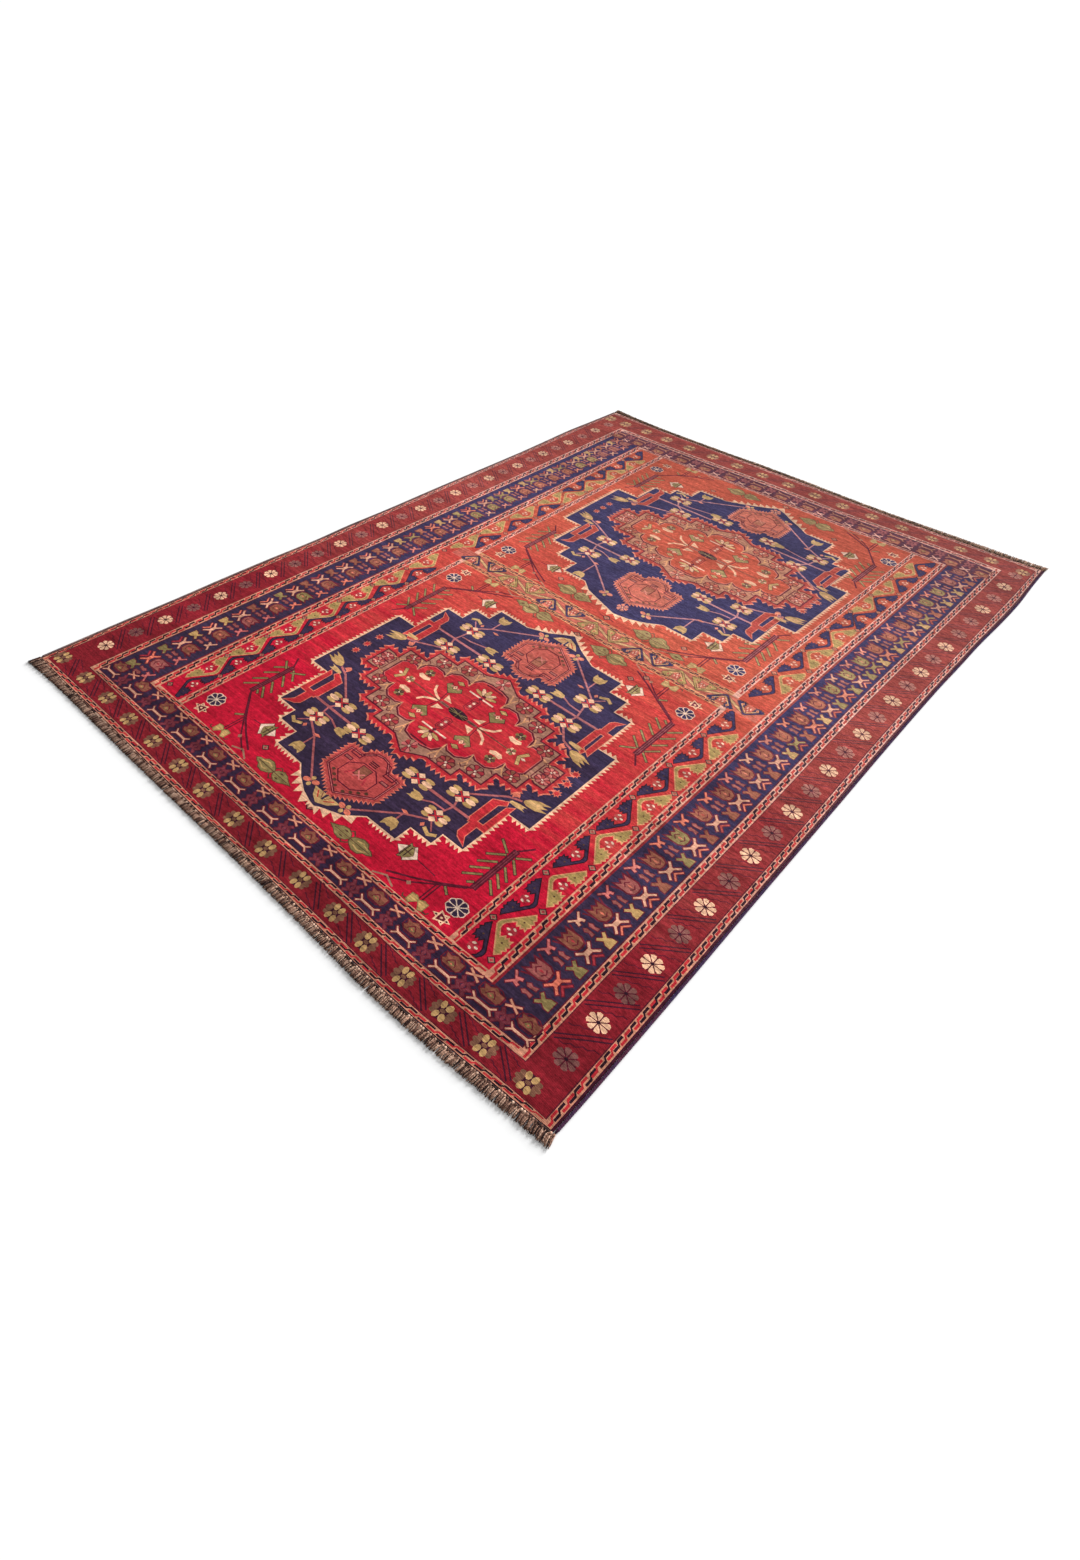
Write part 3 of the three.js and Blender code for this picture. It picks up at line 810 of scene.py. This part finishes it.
def quarter_figures(outer, inner, low, stem, base, high, tip, side, foot):
    """The branches and flowers in one quarter of a medallion, x outwards and y away from its middle line."""
    (ox, oy, _), (ix, iy, _), (_, ly, l_half) = outer, inner, low
    tx, ty = tip
    joint = (oy + iy) / 2 + 10
    shapes = [ribbon("stem", 8, (stem, base + 6), (stem, ly + l_half - 6)),
              ribbon("stem", 6, (ox - 16, oy), (stem, joint), (ix + 16, iy)),
              ribbon("stem", 5, (stem + 24, joint - 10), (stem + 26, joint - 48), (stem + 40, ly + 62)),
              ribbon("stem", 6.5, (ix - 16, iy + 2), (tx + 26, ty - 72), (tx + 12, ty - 34)),
              ribbon("stem", 6, (ox + 20, oy - 4), (ox + 52, side[1]), foot),
              ribbon("stem", 5, (side[0] - 14, side[1]), (ox + 52, side[1])),
              ribbon("stem", 4, (ox + 16, oy + 2), (ox + 44, oy + 30))]
    shapes += moved(bracket(high), stem, base)
    for x, y, half in (outer, inner, low):
        shapes += moved(blossom(half), x, y)
    shapes += moved(tulip(), tx, ty, turn=16, wide=0.88)
    shapes += moved(bud("yellow"), tx + 32, ty - 32, turn=4, wide=0.62, high=1.9)
    shapes += moved(bud("salmon"), tx + 6, ty - 60, turn=-60, wide=0.8, high=0.8)
    shapes += moved(bud(), stem + 40, ly + 40, turn=180, high=1.7)
    shapes += moved(bud(), side[0], side[1], turn=-90, wide=1.7, high=1.3)
    shapes += [ribbon("gold", 10, (ox + 44, oy + 50), (ox + 56, oy + 30), (ox + 45, oy + 6)),
               ("salmon", diamond(ox + 42, oy - 4, 8, 7)), ("salmon", diamond(ox + 44, oy - 66, 5, 14))]
    shapes += moved([("gold" if x else "salmon", oval(x, y, wide, tall)) for x, y, wide, tall in
                     ((0, 15, 8, 12), (0, -15, 8, 12), (-11, 0, 7, 7), (11, 0, 7, 7))], *foot, turn=-14)
    return shapes


ROSETTE_SLANT = 0.02


def medallion(u, v, outline, quarters, stars, pendants, ends, middle, grow, end_flower):
    """One stepped medallion: navy in a toothed cream line, with the figures of its four quarters."""
    parts = [("cream", toothed(swollen(outline, 3.5), 14.5, 12.5, 0.75, 1.9)), ("navy", outline)]
    for sx, sy, *rest in quarters:
        parts += moved(quarter_figures(*rest), wide=sx, high=sy)
    for x, y in stars:
        parts += moved(star("salmon", 15.5, 8.5) + star("red", 11, 6), x, y, turn=11)
    for way, (x, y, wide, high) in zip((1, -1), pendants):
        parts += moved(pendant(), x, y, wide=way * wide, high=high)
    for way, (x, y) in zip((1, -1), ends):
        if end_flower:
            parts += moved(flower(["salmon", "pink"], 22, rim="navy", heart="cream", count=6), x, y)
        else:
            fan = [("yellow", [(-19, 4), (-6, 30), (18, 50), (18, -50), (-6, -28)])]
            fan += [ribbon("red", 3.5, (-4, s * 12 + 2), (14, s * 32)) for s in (1, -1)]
            fan += [ribbon("brown", 3, (2, s * 6), (17, s * 16)) for s in (1, -1)]
            parts += moved(fan + [("navy", box(-2, -3, 18, 4))], x, y, wide=way)
    for dye, points in moved(rosette(), *middle, wide=grow[0], high=grow[1]):
        parts.append((dye, [(x + ROSETTE_SLANT * y, y) for x, y in points]))
    pattern.extend((dye, [(u + x, v + y) for x, y in points]) for dye, points in parts)


NEAR_OUTLINE = [
    (-182, -444), (167, -444), (167, -381), (322, -381), (322, -318), (385, -318), (385, -252),
    (444, -252), (444, -135), (480, -62), (505, -22), (523, 3), (500, 38), (473, 75), (444, 145),
    (444, 267), (386, 267), (386, 332), (324, 332), (324, 403), (178, 403), (178, 484), (-160, 486),
    (-160, 412), (-328, 412), (-328, 337), (-376, 337), (-376, 260), (-438, 260), (-438, 150),
    (-466, 112), (-492, 62), (-503, 25), (-507, 3), (-498, -15), (-477, -75), (-437, -122), (-437, -227),
    (-385, -227), (-385, -301), (-345, -301), (-345, -371), (-182, -371),
]
FAR_OUTLINE = [
    (-204, -491), (144, -490), (144, -424), (286, -424), (286, -357), (344, -357), (344, -289),
    (420, -289), (420, -180), (447, -138), (478, -80), (507, -36), (520, 0), (490, 40), (452, 107),
    (419, 180), (419, 297), (350, 297), (350, 369), (303, 369), (303, 443), (174, 443), (174, 541),
    (-178, 540), (-178, 459), (-343, 459), (-343, 381), (-407, 381), (-407, 293), (-475, 293),
    (-475, 196), (-510, 150), (-538, 60), (-555, 0), (-541, -58), (-520, -104), (-483, -160),
    (-483, -275), (-420, -275), (-420, -351), (-356, -351), (-356, -423), (-204, -423),
]
medallion(
    705, 979, NEAR_OUTLINE,
    ((-1, 1, (301, 273, 44), (214, 270, 56), (258, 133, 54), 251, 342, 70, (103, 438), (407, 210), (458, 78)),
     (1, 1, (300, 258, 48), (187, 257, 49), (225, 100, 50), 231, 343, 60, (108, 405), (412, 220), (447, 72)),
     (-1, -1, (316, 244, 41), (222, 244, 48), (258, 115, 52), 263, 308, 63, (113, 402), (410, 180),
      (460, 62)),
     (1, -1, (300, 240, 50), (188, 250, 49), (228, 108, 45), 229, 330, 51, (100, 365), (408, 195),
      (444, 72))),
    stars=((-33, 440), (12, 441), (62, 441), (-42, -413), (3, -411), (47, -404)),
    pendants=((-359, 6, 1, 1), (354, -4, 1.05, 0.97)), ends=((-478, 6), (483, -2)),
    middle=(-6, -3), grow=(1, 1), end_flower=False)
medallion(
    1978, 975, FAR_OUTLINE,
    ((-1, 1, (312, 310, 47), (198, 318, 42), (246, 172, 39), 250, 390, 60, (103, 490), (457, 240), (482, 95)),
     (1, 1, (287, 308, 46), (195, 250, 45), (262, 97, 43), 238, 380, 55, (112, 482), (390, 250), (440, 78)),
     (-1, -1, (329, 300, 42), (213, 291, 38), (254, 157, 38), 264, 360, 58, (141, 452), (460, 215),
      (482, 84)),
     (1, -1, (274, 305, 41), (177, 273, 39), (256, 114, 37), 220, 368, 52, (72, 452), (386, 242), (440, 80))),
    stars=((-42, 490), (0, 489), (45, 491), (-75, -443), (-32, -441), (10, -452)),
    pendants=((-372, 2, 1.04, 1.02), (372, -10, 1, 1)), ends=((-505, 0), (488, -8)),
    middle=(-3, -8), grow=(1.04, 1.1), end_flower=True)

# Cutting the cloth: long sides of a shape are divided so that they follow the bent lines.
GRID = 75
# Loose points lie in a wide grid well inside the cloth, so that its smooth rise is followed.
LOOSE_GRID, LOOSE_FROM, LOOSE_TO = 100, 17, 5
MERGED_WITHIN = 0.02


def divided(points):
    out = []
    for (x0, y0), (x1, y1) in zip(points, points[1:] + points[:1]):
        cuts = {0.0}
        for a, b in ((x0, x1), (y0, y1)):
            if abs(b - a) > GRID / 2:
                low, high = sorted((a, b))
                for k in range(math.ceil(low / GRID), math.floor(high / GRID) + 1):
                    t = (k * GRID - a) / (b - a)
                    if 0.001 < t < 0.999:
                        cuts.add(round(t, 6))
        out += [(x0 + (x1 - x0) * t, y0 + (y1 - y0) * t) for t in sorted(cuts)]
    return out


def cut(shapes, loose):
    """One triangulation of all the shapes; each triangle keeps the dye of the last shape laid on it."""
    flat, outlines = [], []
    for dye, points in shapes:
        points = divided(points)
        outlines.append(range(len(flat), len(flat) + len(points)))
        flat += points
    flat += loose
    plan = bent(flat)
    faces = []
    for outline in outlines:
        ring = list(outline)
        corners = plan[ring]
        after = np.roll(corners, -1, axis=0)
        doubled = float(np.sum(corners[:, 0] * after[:, 1] - after[:, 0] * corners[:, 1]))
        faces.append(ring if doubled > 0 else ring[::-1])
    places = [Vector(p) for p in plan]
    verts, _, tris, _, _, origins = delaunay_2d_cdt(places, [], faces, 1, MERGED_WITHIN, True)
    plan = np.array([(p.x, p.y) for p in verts])
    kept = [(tuple(t), shapes[max(origin)][0]) for t, origin in zip(tris, origins) if origin]
    return plan, [t for t, _ in kept], [dye for _, dye in kept]


u0, v0, u1, v1 = CLOTH
loose = [(u, v) for u in np.arange(u0 + LOOSE_FROM, u1 - LOOSE_TO, LOOSE_GRID)
         for v in np.arange(v0 + LOOSE_FROM, v1 - LOOSE_TO, LOOSE_GRID)]
top_plan, top_faces, top_dyes = cut(pattern, loose)

# The underside shows only the larger shapes, those of more square millimetres than this.
UNDERSIDE_LEAST = 6000
large = [(dye, points) for dye, points in pattern if abs(twice_area(points)) / 2 > UNDERSIDE_LEAST]
under_plan, under_faces, under_dyes = cut(large, [])


def linear(channel):
    c = channel / 255
    return c / 12.92 if c <= 0.04045 else ((c + 0.055) / 1.055) ** 2.4


def mesh_object(name, verts, faces, smooth_shaded=True):
    mesh = bpy.data.meshes.new(name)
    mesh.from_pydata([Vector(p) * MM for p in verts], [], faces)
    mesh.polygons.foreach_set("use_smooth", [smooth_shaded] * len(mesh.polygons))
    obj = bpy.data.objects.new(name, mesh)
    bpy.context.scene.collection.objects.link(obj)
    return obj


def colour_faces(obj, name, colours):
    """A colour for every face, as a colour attribute on its corners."""
    layer = obj.data.color_attributes.new(name, "FLOAT_COLOR", "CORNER")
    counts = np.zeros(len(obj.data.polygons), dtype=int)
    obj.data.polygons.foreach_get("loop_total", counts)
    rgba = np.repeat(np.array([(*(linear(c) for c in colour), 1.0) for colour in colours]), counts, axis=0)
    layer.data.foreach_set("color", rgba.ravel())


def rim(faces):
    """The one loop of edges that have a single face."""
    edges = {edge for face in faces for edge in zip(face, face[1:] + face[:1])}
    after = {a: b for a, b in edges if (b, a) not in edges}
    loop = [min(after)]
    while after[loop[-1]] != loop[0]:
        loop.append(after[loop[-1]])
    if len(loop) != len(after):
        raise ValueError("the cloth has more than one rim")
    return loop


def make_cloth():
    top_z = CLOTH_THICKNESS + 0.25 * np.sin(top_plan[:, 0] / 190 + 1) * np.sin(top_plan[:, 1] / 150) \
        + 0.15 * np.sin(top_plan[:, 0] / 61 + top_plan[:, 1] / 83)
    verts = [(x + SHIFT_X, y + SHIFT_Y, z) for (x, y), z in zip(top_plan, top_z)]
    base = len(verts)
    verts += [(x + SHIFT_X, y + SHIFT_Y, 0) for x, y in under_plan]
    faces = list(top_faces) + [tuple(base + i for i in reversed(face)) for face in under_faces]
    top_rim, under_rim = rim(top_faces), rim(under_faces)
    apart = [float(np.sum((under_plan[i] - top_plan[top_rim[0]]) ** 2)) for i in under_rim]
    start = apart.index(min(apart))
    under_rim = under_rim[start:] + under_rim[:start]
    if len(top_rim) != len(under_rim):
        raise ValueError("the two faces of the cloth have different rims")
    count = len(top_rim)
    for i in range(count):
        after = (i + 1) % count
        faces.append((top_rim[after], top_rim[i], base + under_rim[i], base + under_rim[after]))
    cloth = mesh_object("cloth_woven", verts, faces, False)
    dyes = top_dyes + under_dyes + ["edge"] * count
    colour_faces(cloth, "near_dye", [DYES_AND_SHEEN[d][0] for d in dyes])
    # The far colours hold painted sheen as well as faded dye.
    colour_faces(cloth, "far_dye_and_sheen", [DYES_AND_SHEEN[d][1] for d in dyes])
    uv = cloth.data.uv_layers.new(name="OFBake")
    xs = np.array([v[0] for v in verts])
    ys = np.array([v[1] for v in verts])
    fit = 0.998 / (xs.max() - xs.min())
    u_all, v_all = 0.001 + (xs - xs.min()) * fit, 0.001 + (ys - ys.min()) * fit
    under_fit = 0.36
    coords = []
    for face in faces[:len(top_faces)]:
        coords += [(u_all[i], v_all[i]) for i in face]
    for face in faces[len(top_faces):len(top_faces) + len(under_faces)]:
        coords += [(0.01 + u_all[i] * under_fit, 0.73 + v_all[i] * under_fit) for i in face]
    for i in range(count):
        a, b = i / count, (i + 0.9) / count
        coords += [(b, 0.998), (a, 0.998), (a, 0.994), (b, 0.994)]
    uv.data.foreach_set("uv", np.array(coords).ravel())
    return cloth


cloth = make_cloth()

# Materials.
WOOL_FINISH = {"Roughness": 0.95, "Specular IOR Level": 0.02, "Sheen Weight": 0.01, "Sheen Roughness": 0.6}


class Nodes:
    """A short way to add and join shader nodes."""

    def __init__(self, name):
        self.material = bpy.data.materials.new(name)
        self.material.use_nodes = True
        self.tree = self.material.node_tree
        self.shader = self.tree.nodes["Principled BSDF"]

    def add(self, kind, inputs=(), **settings):
        node = self.tree.nodes.new(kind)
        for key, value in settings.items():
            setattr(node, key, value)
        for key, value in dict(inputs).items():
            if isinstance(value, bpy.types.NodeSocket):
                self.tree.links.new(value, node.inputs[key])
            else:
                node.inputs[key].default_value = value
        return node

    def math(self, operation, *values):
        return self.add("ShaderNodeMath", dict(enumerate(values)), operation=operation).outputs[0]

    def noise(self, vector, scale=1.0, detail=2.0, roughness=0.6):
        inputs = {"Vector": vector, "Scale": scale, "Detail": detail, "Roughness": roughness}
        return self.add("ShaderNodeTexNoise", inputs).outputs["Fac"]

    def stretched(self, x, y, z=1.0):
        place = self.add("ShaderNodeTexCoord").outputs["Object"]
        return self.add("ShaderNodeMapping", {"Vector": place, "Scale": (x, y, z)}).outputs[0]

    def mix(self, factor, a, b):
        node = self.add("ShaderNodeMix", data_type="RGBA")
        for socket, value in ((node.inputs[0], factor), (node.inputs[6], a), (node.inputs[7], b)):
            if isinstance(value, bpy.types.NodeSocket):
                self.tree.links.new(value, socket)
            else:
                socket.default_value = value
        return node.outputs[2]

    def ranged(self, value, low, high, to_low, to_high):
        inputs = {"Value": value, "From Min": low, "From Max": high, "To Min": to_low, "To Max": to_high}
        return self.add("ShaderNodeMapRange", inputs).outputs[0]

    def finish(self, colour, height, distance):
        bump = self.add("ShaderNodeBump", {"Height": height, "Strength": 0.8, "Distance": distance})
        self.tree.links.new(colour, self.shader.inputs["Base Color"])
        self.tree.links.new(bump.outputs[0], self.shader.inputs["Normal"])
        for name, value in WOOL_FINISH.items():
            self.shader.inputs[name].default_value = value
        return self.material


def woven_wool():
    n = Nodes("woven_wool_dyed_and_shaded")
    near = n.add("ShaderNodeAttribute", attribute_name="near_dye").outputs["Color"]
    far = n.add("ShaderNodeAttribute", attribute_name="far_dye_and_sheen").outputs["Color"]
    place = n.add("ShaderNodeTexCoord").outputs["Object"]
    x = n.add("ShaderNodeSeparateXYZ", {"Vector": place}).outputs
    streak = n.noise(n.stretched(1.0, 0.06), 26.0, 4.0, 0.7)
    drift = n.noise(n.stretched(1.0, 0.25), 3.0)
    along = n.math("ADD", x[0], n.math("MULTIPLY", n.math("SUBTRACT", streak, 0.5), 1.1))
    along = n.math("ADD", along, n.math("MULTIPLY", n.math("SUBTRACT", drift, 0.5), 0.9))
    along = n.math("ADD", along, n.math("MULTIPLY", x[1], -0.18))
    # The near colours blend into the far ones along the rug; the far ones hold painted sheen as well as faded
    # dye.
    dye_and_sheen = n.mix(n.ranged(along, -0.85, 0.25, 0.0, 1.0), near, far)
    grain = n.noise(n.stretched(230.0, 100.0, 100.0), 1.0, 3.0, 0.7)
    patch = n.noise(n.stretched(9.0, 5.0), 1.0, 3.0)
    fine_streak = n.noise(n.stretched(170.0, 7.0))
    fleck = n.noise(n.stretched(80.0, 45.0))
    broad_streak = n.noise(n.stretched(44.0, 1.6))
    value = n.math("MULTIPLY", n.ranged(grain, 0.25, 0.75, 0.5, 1.22), n.ranged(patch, 0.3, 0.7, 0.84, 1.15))
    # Grain, patches, streaks and flecks vary the wool's tone at random; the last two ranges darken it towards
    # the near end, painted shade for the sheen that end lacks, and again towards the far end.
    for source, *limits in (
            (fine_streak, 0.35, 0.65, 0.8, 1.18), (fleck, 0.3, 0.7, 0.8, 1.2),
            (broad_streak, 0.35, 0.65, 0.88, 1.12), (x[0], -1.35, -0.85, 0.86, 1.1),
            (x[0], 0.2, 1.15, 1.06, 0.8)):
        value = n.math("MULTIPLY", value, n.ranged(source, *limits))
    worn_and_shaded = n.add("ShaderNodeHueSaturation", {"Color": dye_and_sheen, "Value": value}).outputs[0]
    row_pitch, stitch_pitch = 0.0022, 0.0034
    row = n.math("MULTIPLY", x[0], math.tau / row_pitch)
    chevron = n.math("MULTIPLY", n.math("ABSOLUTE", n.math("SINE", n.math("MULTIPLY", row, 0.5))), 1.2)
    stitch = n.math("SINE", n.math("ADD", n.math("MULTIPLY", x[1], math.tau / stitch_pitch), chevron))
    relief = n.math("ADD", n.math("MULTIPLY", n.math("COSINE", row), -0.5), n.math("MULTIPLY", stitch, 0.35))
    relief = n.math("ADD", relief, n.math("MULTIPLY", grain, 0.8))
    return n.finish(worn_and_shaded, relief, 0.0006)


def give(obj, material):
    obj.data.materials.clear()
    obj.data.materials.append(material)


give(cloth, woven_wool())
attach(cloth, "root")
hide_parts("cloth")


def sweep(rings):
    """Faces that join rings of points in a row, closed at both ends."""
    verts, faces, sides = [], [], len(rings[0])
    for k, ring in enumerate(rings):
        verts += ring
        if k:
            a, b = (k - 1) * sides, k * sides
            faces += [(a + i, a + (i + 1) % sides, b + (i + 1) % sides, b + i) for i in range(sides)]
    last = (len(rings) - 1) * sides
    faces += [tuple(reversed(range(sides))), tuple(range(last, last + sides))]
    return verts, faces


TURN_PITCH = 4.6
CORD_SIDES = 10


def selvedge(name, node, edge, inward, wobble_seed):
    """A cord overcast with wool: a flattened round whose turns stand up as slanting ridges."""
    rings_a_turn = 3
    low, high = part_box(node)
    start, end = low[0] / MM - SHIFT_X, high[0] / MM - SHIFT_X
    rng = random.Random(wobble_seed)
    count = int((end - start) / TURN_PITCH * rings_a_turn)
    rings = []
    swell = 1.0
    for k in range(count + 1):
        x = start + (end - start) * k / count
        if k % rings_a_turn == 0:
            swell = rng.uniform(0.94, 1.03)
        middle = float(edge(min(max(x, 0), LENGTH))) + inward * SELVEDGE_WIDTH / 2
        taper = min(1.0, 0.45 + min(k, count - k) * 0.12)
        ring = []
        for i in range(CORD_SIDES):
            angle = math.tau * i / CORD_SIDES
            ridge = 0.9 + 0.1 * math.cos(math.tau * x / TURN_PITCH + angle)
            y = SELVEDGE_WIDTH / 2 * 0.98 * math.cos(angle) * ridge * taper
            z = SELVEDGE_HEIGHT / 2 * math.sin(angle) * ridge * swell * taper
            ring.append((x + SHIFT_X, middle + y + SHIFT_Y, max(SELVEDGE_HEIGHT / 2 * taper + z, 0)))
        rings.append(ring[::-1])
    obj = mesh_object(name, *sweep(rings))
    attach(obj, "root")
    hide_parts(node)
    return obj


def cord_wool(name, base, other):
    n = Nodes(name)
    place = n.add("ShaderNodeTexCoord").outputs["Object"]
    x = n.add("ShaderNodeSeparateXYZ", {"Vector": place}).outputs
    patch = n.noise(n.stretched(14.0, 14.0, 14.0), 1.0, 3.0)
    turns = n.noise(n.stretched(260.0, 30.0, 60.0))
    first, second = ((*(linear(c) for c in dye), 1) for dye in (base, other))
    colour = n.mix(n.ranged(patch, 0.35, 0.65, 0.0, 1.0), first, second)
    shade = n.ranged(turns, 0.3, 0.7, 0.7, 1.35)
    colour = n.add("ShaderNodeHueSaturation", {"Color": colour, "Value": shade}).outputs[0]
    fibre_pitch = 0.0012
    slanting = n.math("ADD", x[0], n.math("MULTIPLY", x[1], 0.4))
    fibre = n.math("SINE", n.math("MULTIPLY", slanting, math.tau / fibre_pitch))
    return n.finish(colour, n.math("ADD", fibre, turns), 0.0004)


right_cord = selvedge("selvedge_right_overcast", "selvedge_right", right_edge, 1, 11)
give(right_cord, cord_wool("navy_cord_wool", (64, 50, 82), (84, 44, 62)))
left_cord = selvedge("selvedge_left_overcast", "selvedge_left", left_edge, -1, 12)
give(left_cord, cord_wool("brown_cord_wool", (96, 78, 78), (132, 104, 98)))

# The fringes: a row of knots, and the six twisted warp ends that leave each of them.
KNOT_PITCH = 6.9
STRAND_SIDES = 5
STRAND_RINGS = 5
STRANDS_OF_A_KNOT = (-0.84, -0.5, -0.17, 0.17, 0.5, 0.84)


def fringe(name, node, end_line, table, way, tints, seed):
    rng = random.Random(seed)
    row = 0.0 if way < 0 else LENGTH
    low_y = float(right_edge(row))
    high_y = float(left_edge(row))
    verts, faces, colours = [], [], []

    def add(rings, colour):
        new_verts, new_faces = sweep(rings)
        base = len(verts)
        verts.extend(new_verts)
        faces.extend(tuple(base + i for i in face) for face in new_faces)
        colours.extend([colour] * len(new_faces))

    def ring(centre, radius, tall, turn=0.0):
        """A ring of points round the fringe's own direction."""
        out = []
        for i in range(STRAND_SIDES):
            angle = math.tau * i / STRAND_SIDES + turn
            y, z = radius * math.cos(angle), tall * math.sin(angle)
            out.append((centre[0] + SHIFT_X, centre[1] + y + SHIFT_Y, max(centre[2] + z, 0.0)))
        return out if way < 0 else out[::-1]

    count = int((high_y - low_y) / KNOT_PITCH)
    pitch = (high_y - low_y) / count
    for k in range(count):
        y = low_y + (k + 0.5) * pitch
        outer = float(end_line(y))
        tint = rng.choice(tints)
        height = HEADING_HEIGHT * rng.uniform(0.86, 1.0)
        knot = []
        for t, size in ((0.0, 0.55), (0.3, 1.0), (0.7, 0.95), (1.0, 0.6)):
            x = outer - way * (HEADING_WIDTH - 0.6) * (1 - t)
            knot.append(ring((x, y, height / 2), pitch * 0.52 * size, height / 2 * size))
        add(knot, tint)
        for side in STRANDS_OF_A_KNOT:
            root_y = y + side * pitch * 0.5
            long = float(smooth(table, 2, y)) * rng.uniform(0.84, 1.04)
            lean = float(smooth(table, 3, y)) * 0.6 + rng.uniform(-2.6, 2.6)
            curl = rng.uniform(-2.0, 2.0)
            thick = rng.uniform(1.1, 1.5)
            lift = rng.uniform(0.2, 1.4)
            tip = rng.uniform(1.6, 3.6)
            tint = rng.choice(tints)
            strand = []
            for j in range(STRAND_RINGS):
                t = j / (STRAND_RINGS - 1)
                x = outer + way * (long * t - 1.5)
                sway = lean * t**1.4 + curl * math.sin(t * math.pi)
                size = thick * (1.05 - 0.1 * t if j < STRAND_RINGS - 1 else 0.6)
                z = max(size, 2.6 * (1 - t) + tip * t + lift * math.sin(math.pi * t))
                strand.append(ring((x, root_y + sway, z), size, size, t * 5.0))
            add(strand, tint)
    obj = mesh_object(name, verts, faces)
    colour_faces(obj, "wool", colours)
    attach(obj, "root")
    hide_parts(node)
    return obj


def warp_wool(name):
    n = Nodes(name)
    tint = n.add("ShaderNodeAttribute", attribute_name="wool").outputs["Color"]
    fleck = n.noise(n.stretched(420.0, 420.0, 420.0))
    patch = n.noise(n.stretched(4.0, 4.0, 4.0))
    shade = n.math("MULTIPLY", n.ranged(fleck, 0.3, 0.7, 0.65, 1.4), n.ranged(patch, 0.3, 0.7, 0.85, 1.15))
    x = n.add("ShaderNodeSeparateXYZ", {"Vector": n.add("ShaderNodeTexCoord").outputs["Object"]}).outputs
    shade = n.math("MULTIPLY", shade, n.ranged(x[1], -1.0, 1.0, 1.15, 0.7))
    colour = n.add("ShaderNodeHueSaturation", {"Color": tint, "Value": shade}).outputs[0]
    ply_pitch = 0.0018
    ply = n.math("SINE", n.math("MULTIPLY", n.math("ADD", x[0], x[1]), math.tau / ply_pitch))
    return n.finish(colour, ply, 0.0004)


near_fringe = fringe("fringe_near_strands", "fringe_near", near_end, NEAR_END, -1,
                     [(204, 168, 146), (146, 110, 94), (92, 64, 56), (54, 38, 36), (176, 138, 118)], 21)
give(near_fringe, warp_wool("brown_warp_wool"))
far_fringe = fringe("fringe_far_strands", "fringe_far", far_end, FAR_END, 1,
                    [(136, 106, 88), (92, 68, 56), (164, 128, 106), (60, 44, 38)], 22)
give(far_fringe, warp_wool("dark_warp_wool"))

# The floor.
FLOOR_HALF = 200.0
floor_mesh = bpy.data.meshes.new("floor")
floor_corners = [(x, y, 0) for x, y in box(-FLOOR_HALF, -FLOOR_HALF, FLOOR_HALF, FLOOR_HALF)]
floor_mesh.from_pydata(floor_corners, [], [(0, 1, 2, 3)])
floor = bpy.data.objects.new("floor", floor_mesh)
bpy.context.scene.collection.objects.link(floor)
floor_look = Nodes("pale_floor")
floor_look.shader.inputs["Base Color"].default_value = (0.9, 0.9, 0.9, 1)
floor_look.shader.inputs["Roughness"].default_value = 0.9
floor_look.shader.inputs["Specular IOR Level"].default_value = 0.1
give(floor, floor_look.material)

# The camera, as found from the rug's four corners in the photograph.
scene = bpy.context.scene
CAMERA_PLAN = Vector((-0.467, -0.297, 1.504))
CAMERA_RIGHT = Vector((0.66688, -0.74397, 0.04220))
CAMERA_UP = Vector((0.51402, 0.50027, 0.69679))
CAMERA_FORWARD = Vector((0.5395, 0.4430, -0.7160))
camera_data = bpy.data.cameras.new("camera")
camera_data.sensor_fit = "VERTICAL"
camera_data.sensor_height = 36.0
camera_data.lens = 18.204
camera_data.clip_start, camera_data.clip_end = 0.01, 1000
camera = bpy.data.objects.new("camera", camera_data)
scene.collection.objects.link(camera)
turn = Matrix((CAMERA_RIGHT, CAMERA_UP, -CAMERA_FORWARD)).transposed()
camera.matrix_world = Matrix.Translation(CAMERA_PLAN + Vector((SHIFT_X, SHIFT_Y, 0)) * MM) @ turn.to_4x4()
scene.camera = camera

# Soft studio light, a little stronger from beyond the far end, so that the near end has a shadow.
LIGHT_STRENGTH, SEEN_STRENGTH = 0.5, 1.2
world = bpy.data.worlds.new("studio")
world.use_nodes = True
backdrop = world.node_tree.nodes["Background"]
backdrop.inputs["Color"].default_value = (1, 1, 1, 1)
seen = world.node_tree.nodes.new("ShaderNodeLightPath")
strength = world.node_tree.nodes.new("ShaderNodeMapRange")
strength.inputs["To Min"].default_value = LIGHT_STRENGTH
strength.inputs["To Max"].default_value = SEEN_STRENGTH
world.node_tree.links.new(seen.outputs["Is Camera Ray"], strength.inputs["Value"])
world.node_tree.links.new(strength.outputs[0], backdrop.inputs["Strength"])
scene.world = world
key_data = bpy.data.lights.new("key", "SUN")
key_data.energy = 8.0
key_data.angle = math.radians(30)
key = bpy.data.objects.new("key", key_data)
key.rotation_euler = Vector((-1.0, 0.12, -0.27)).to_track_quat("-Z", "Y").to_euler()
scene.collection.objects.link(key)
scene.view_settings.view_transform = "Standard"
scene.view_settings.look = "None"
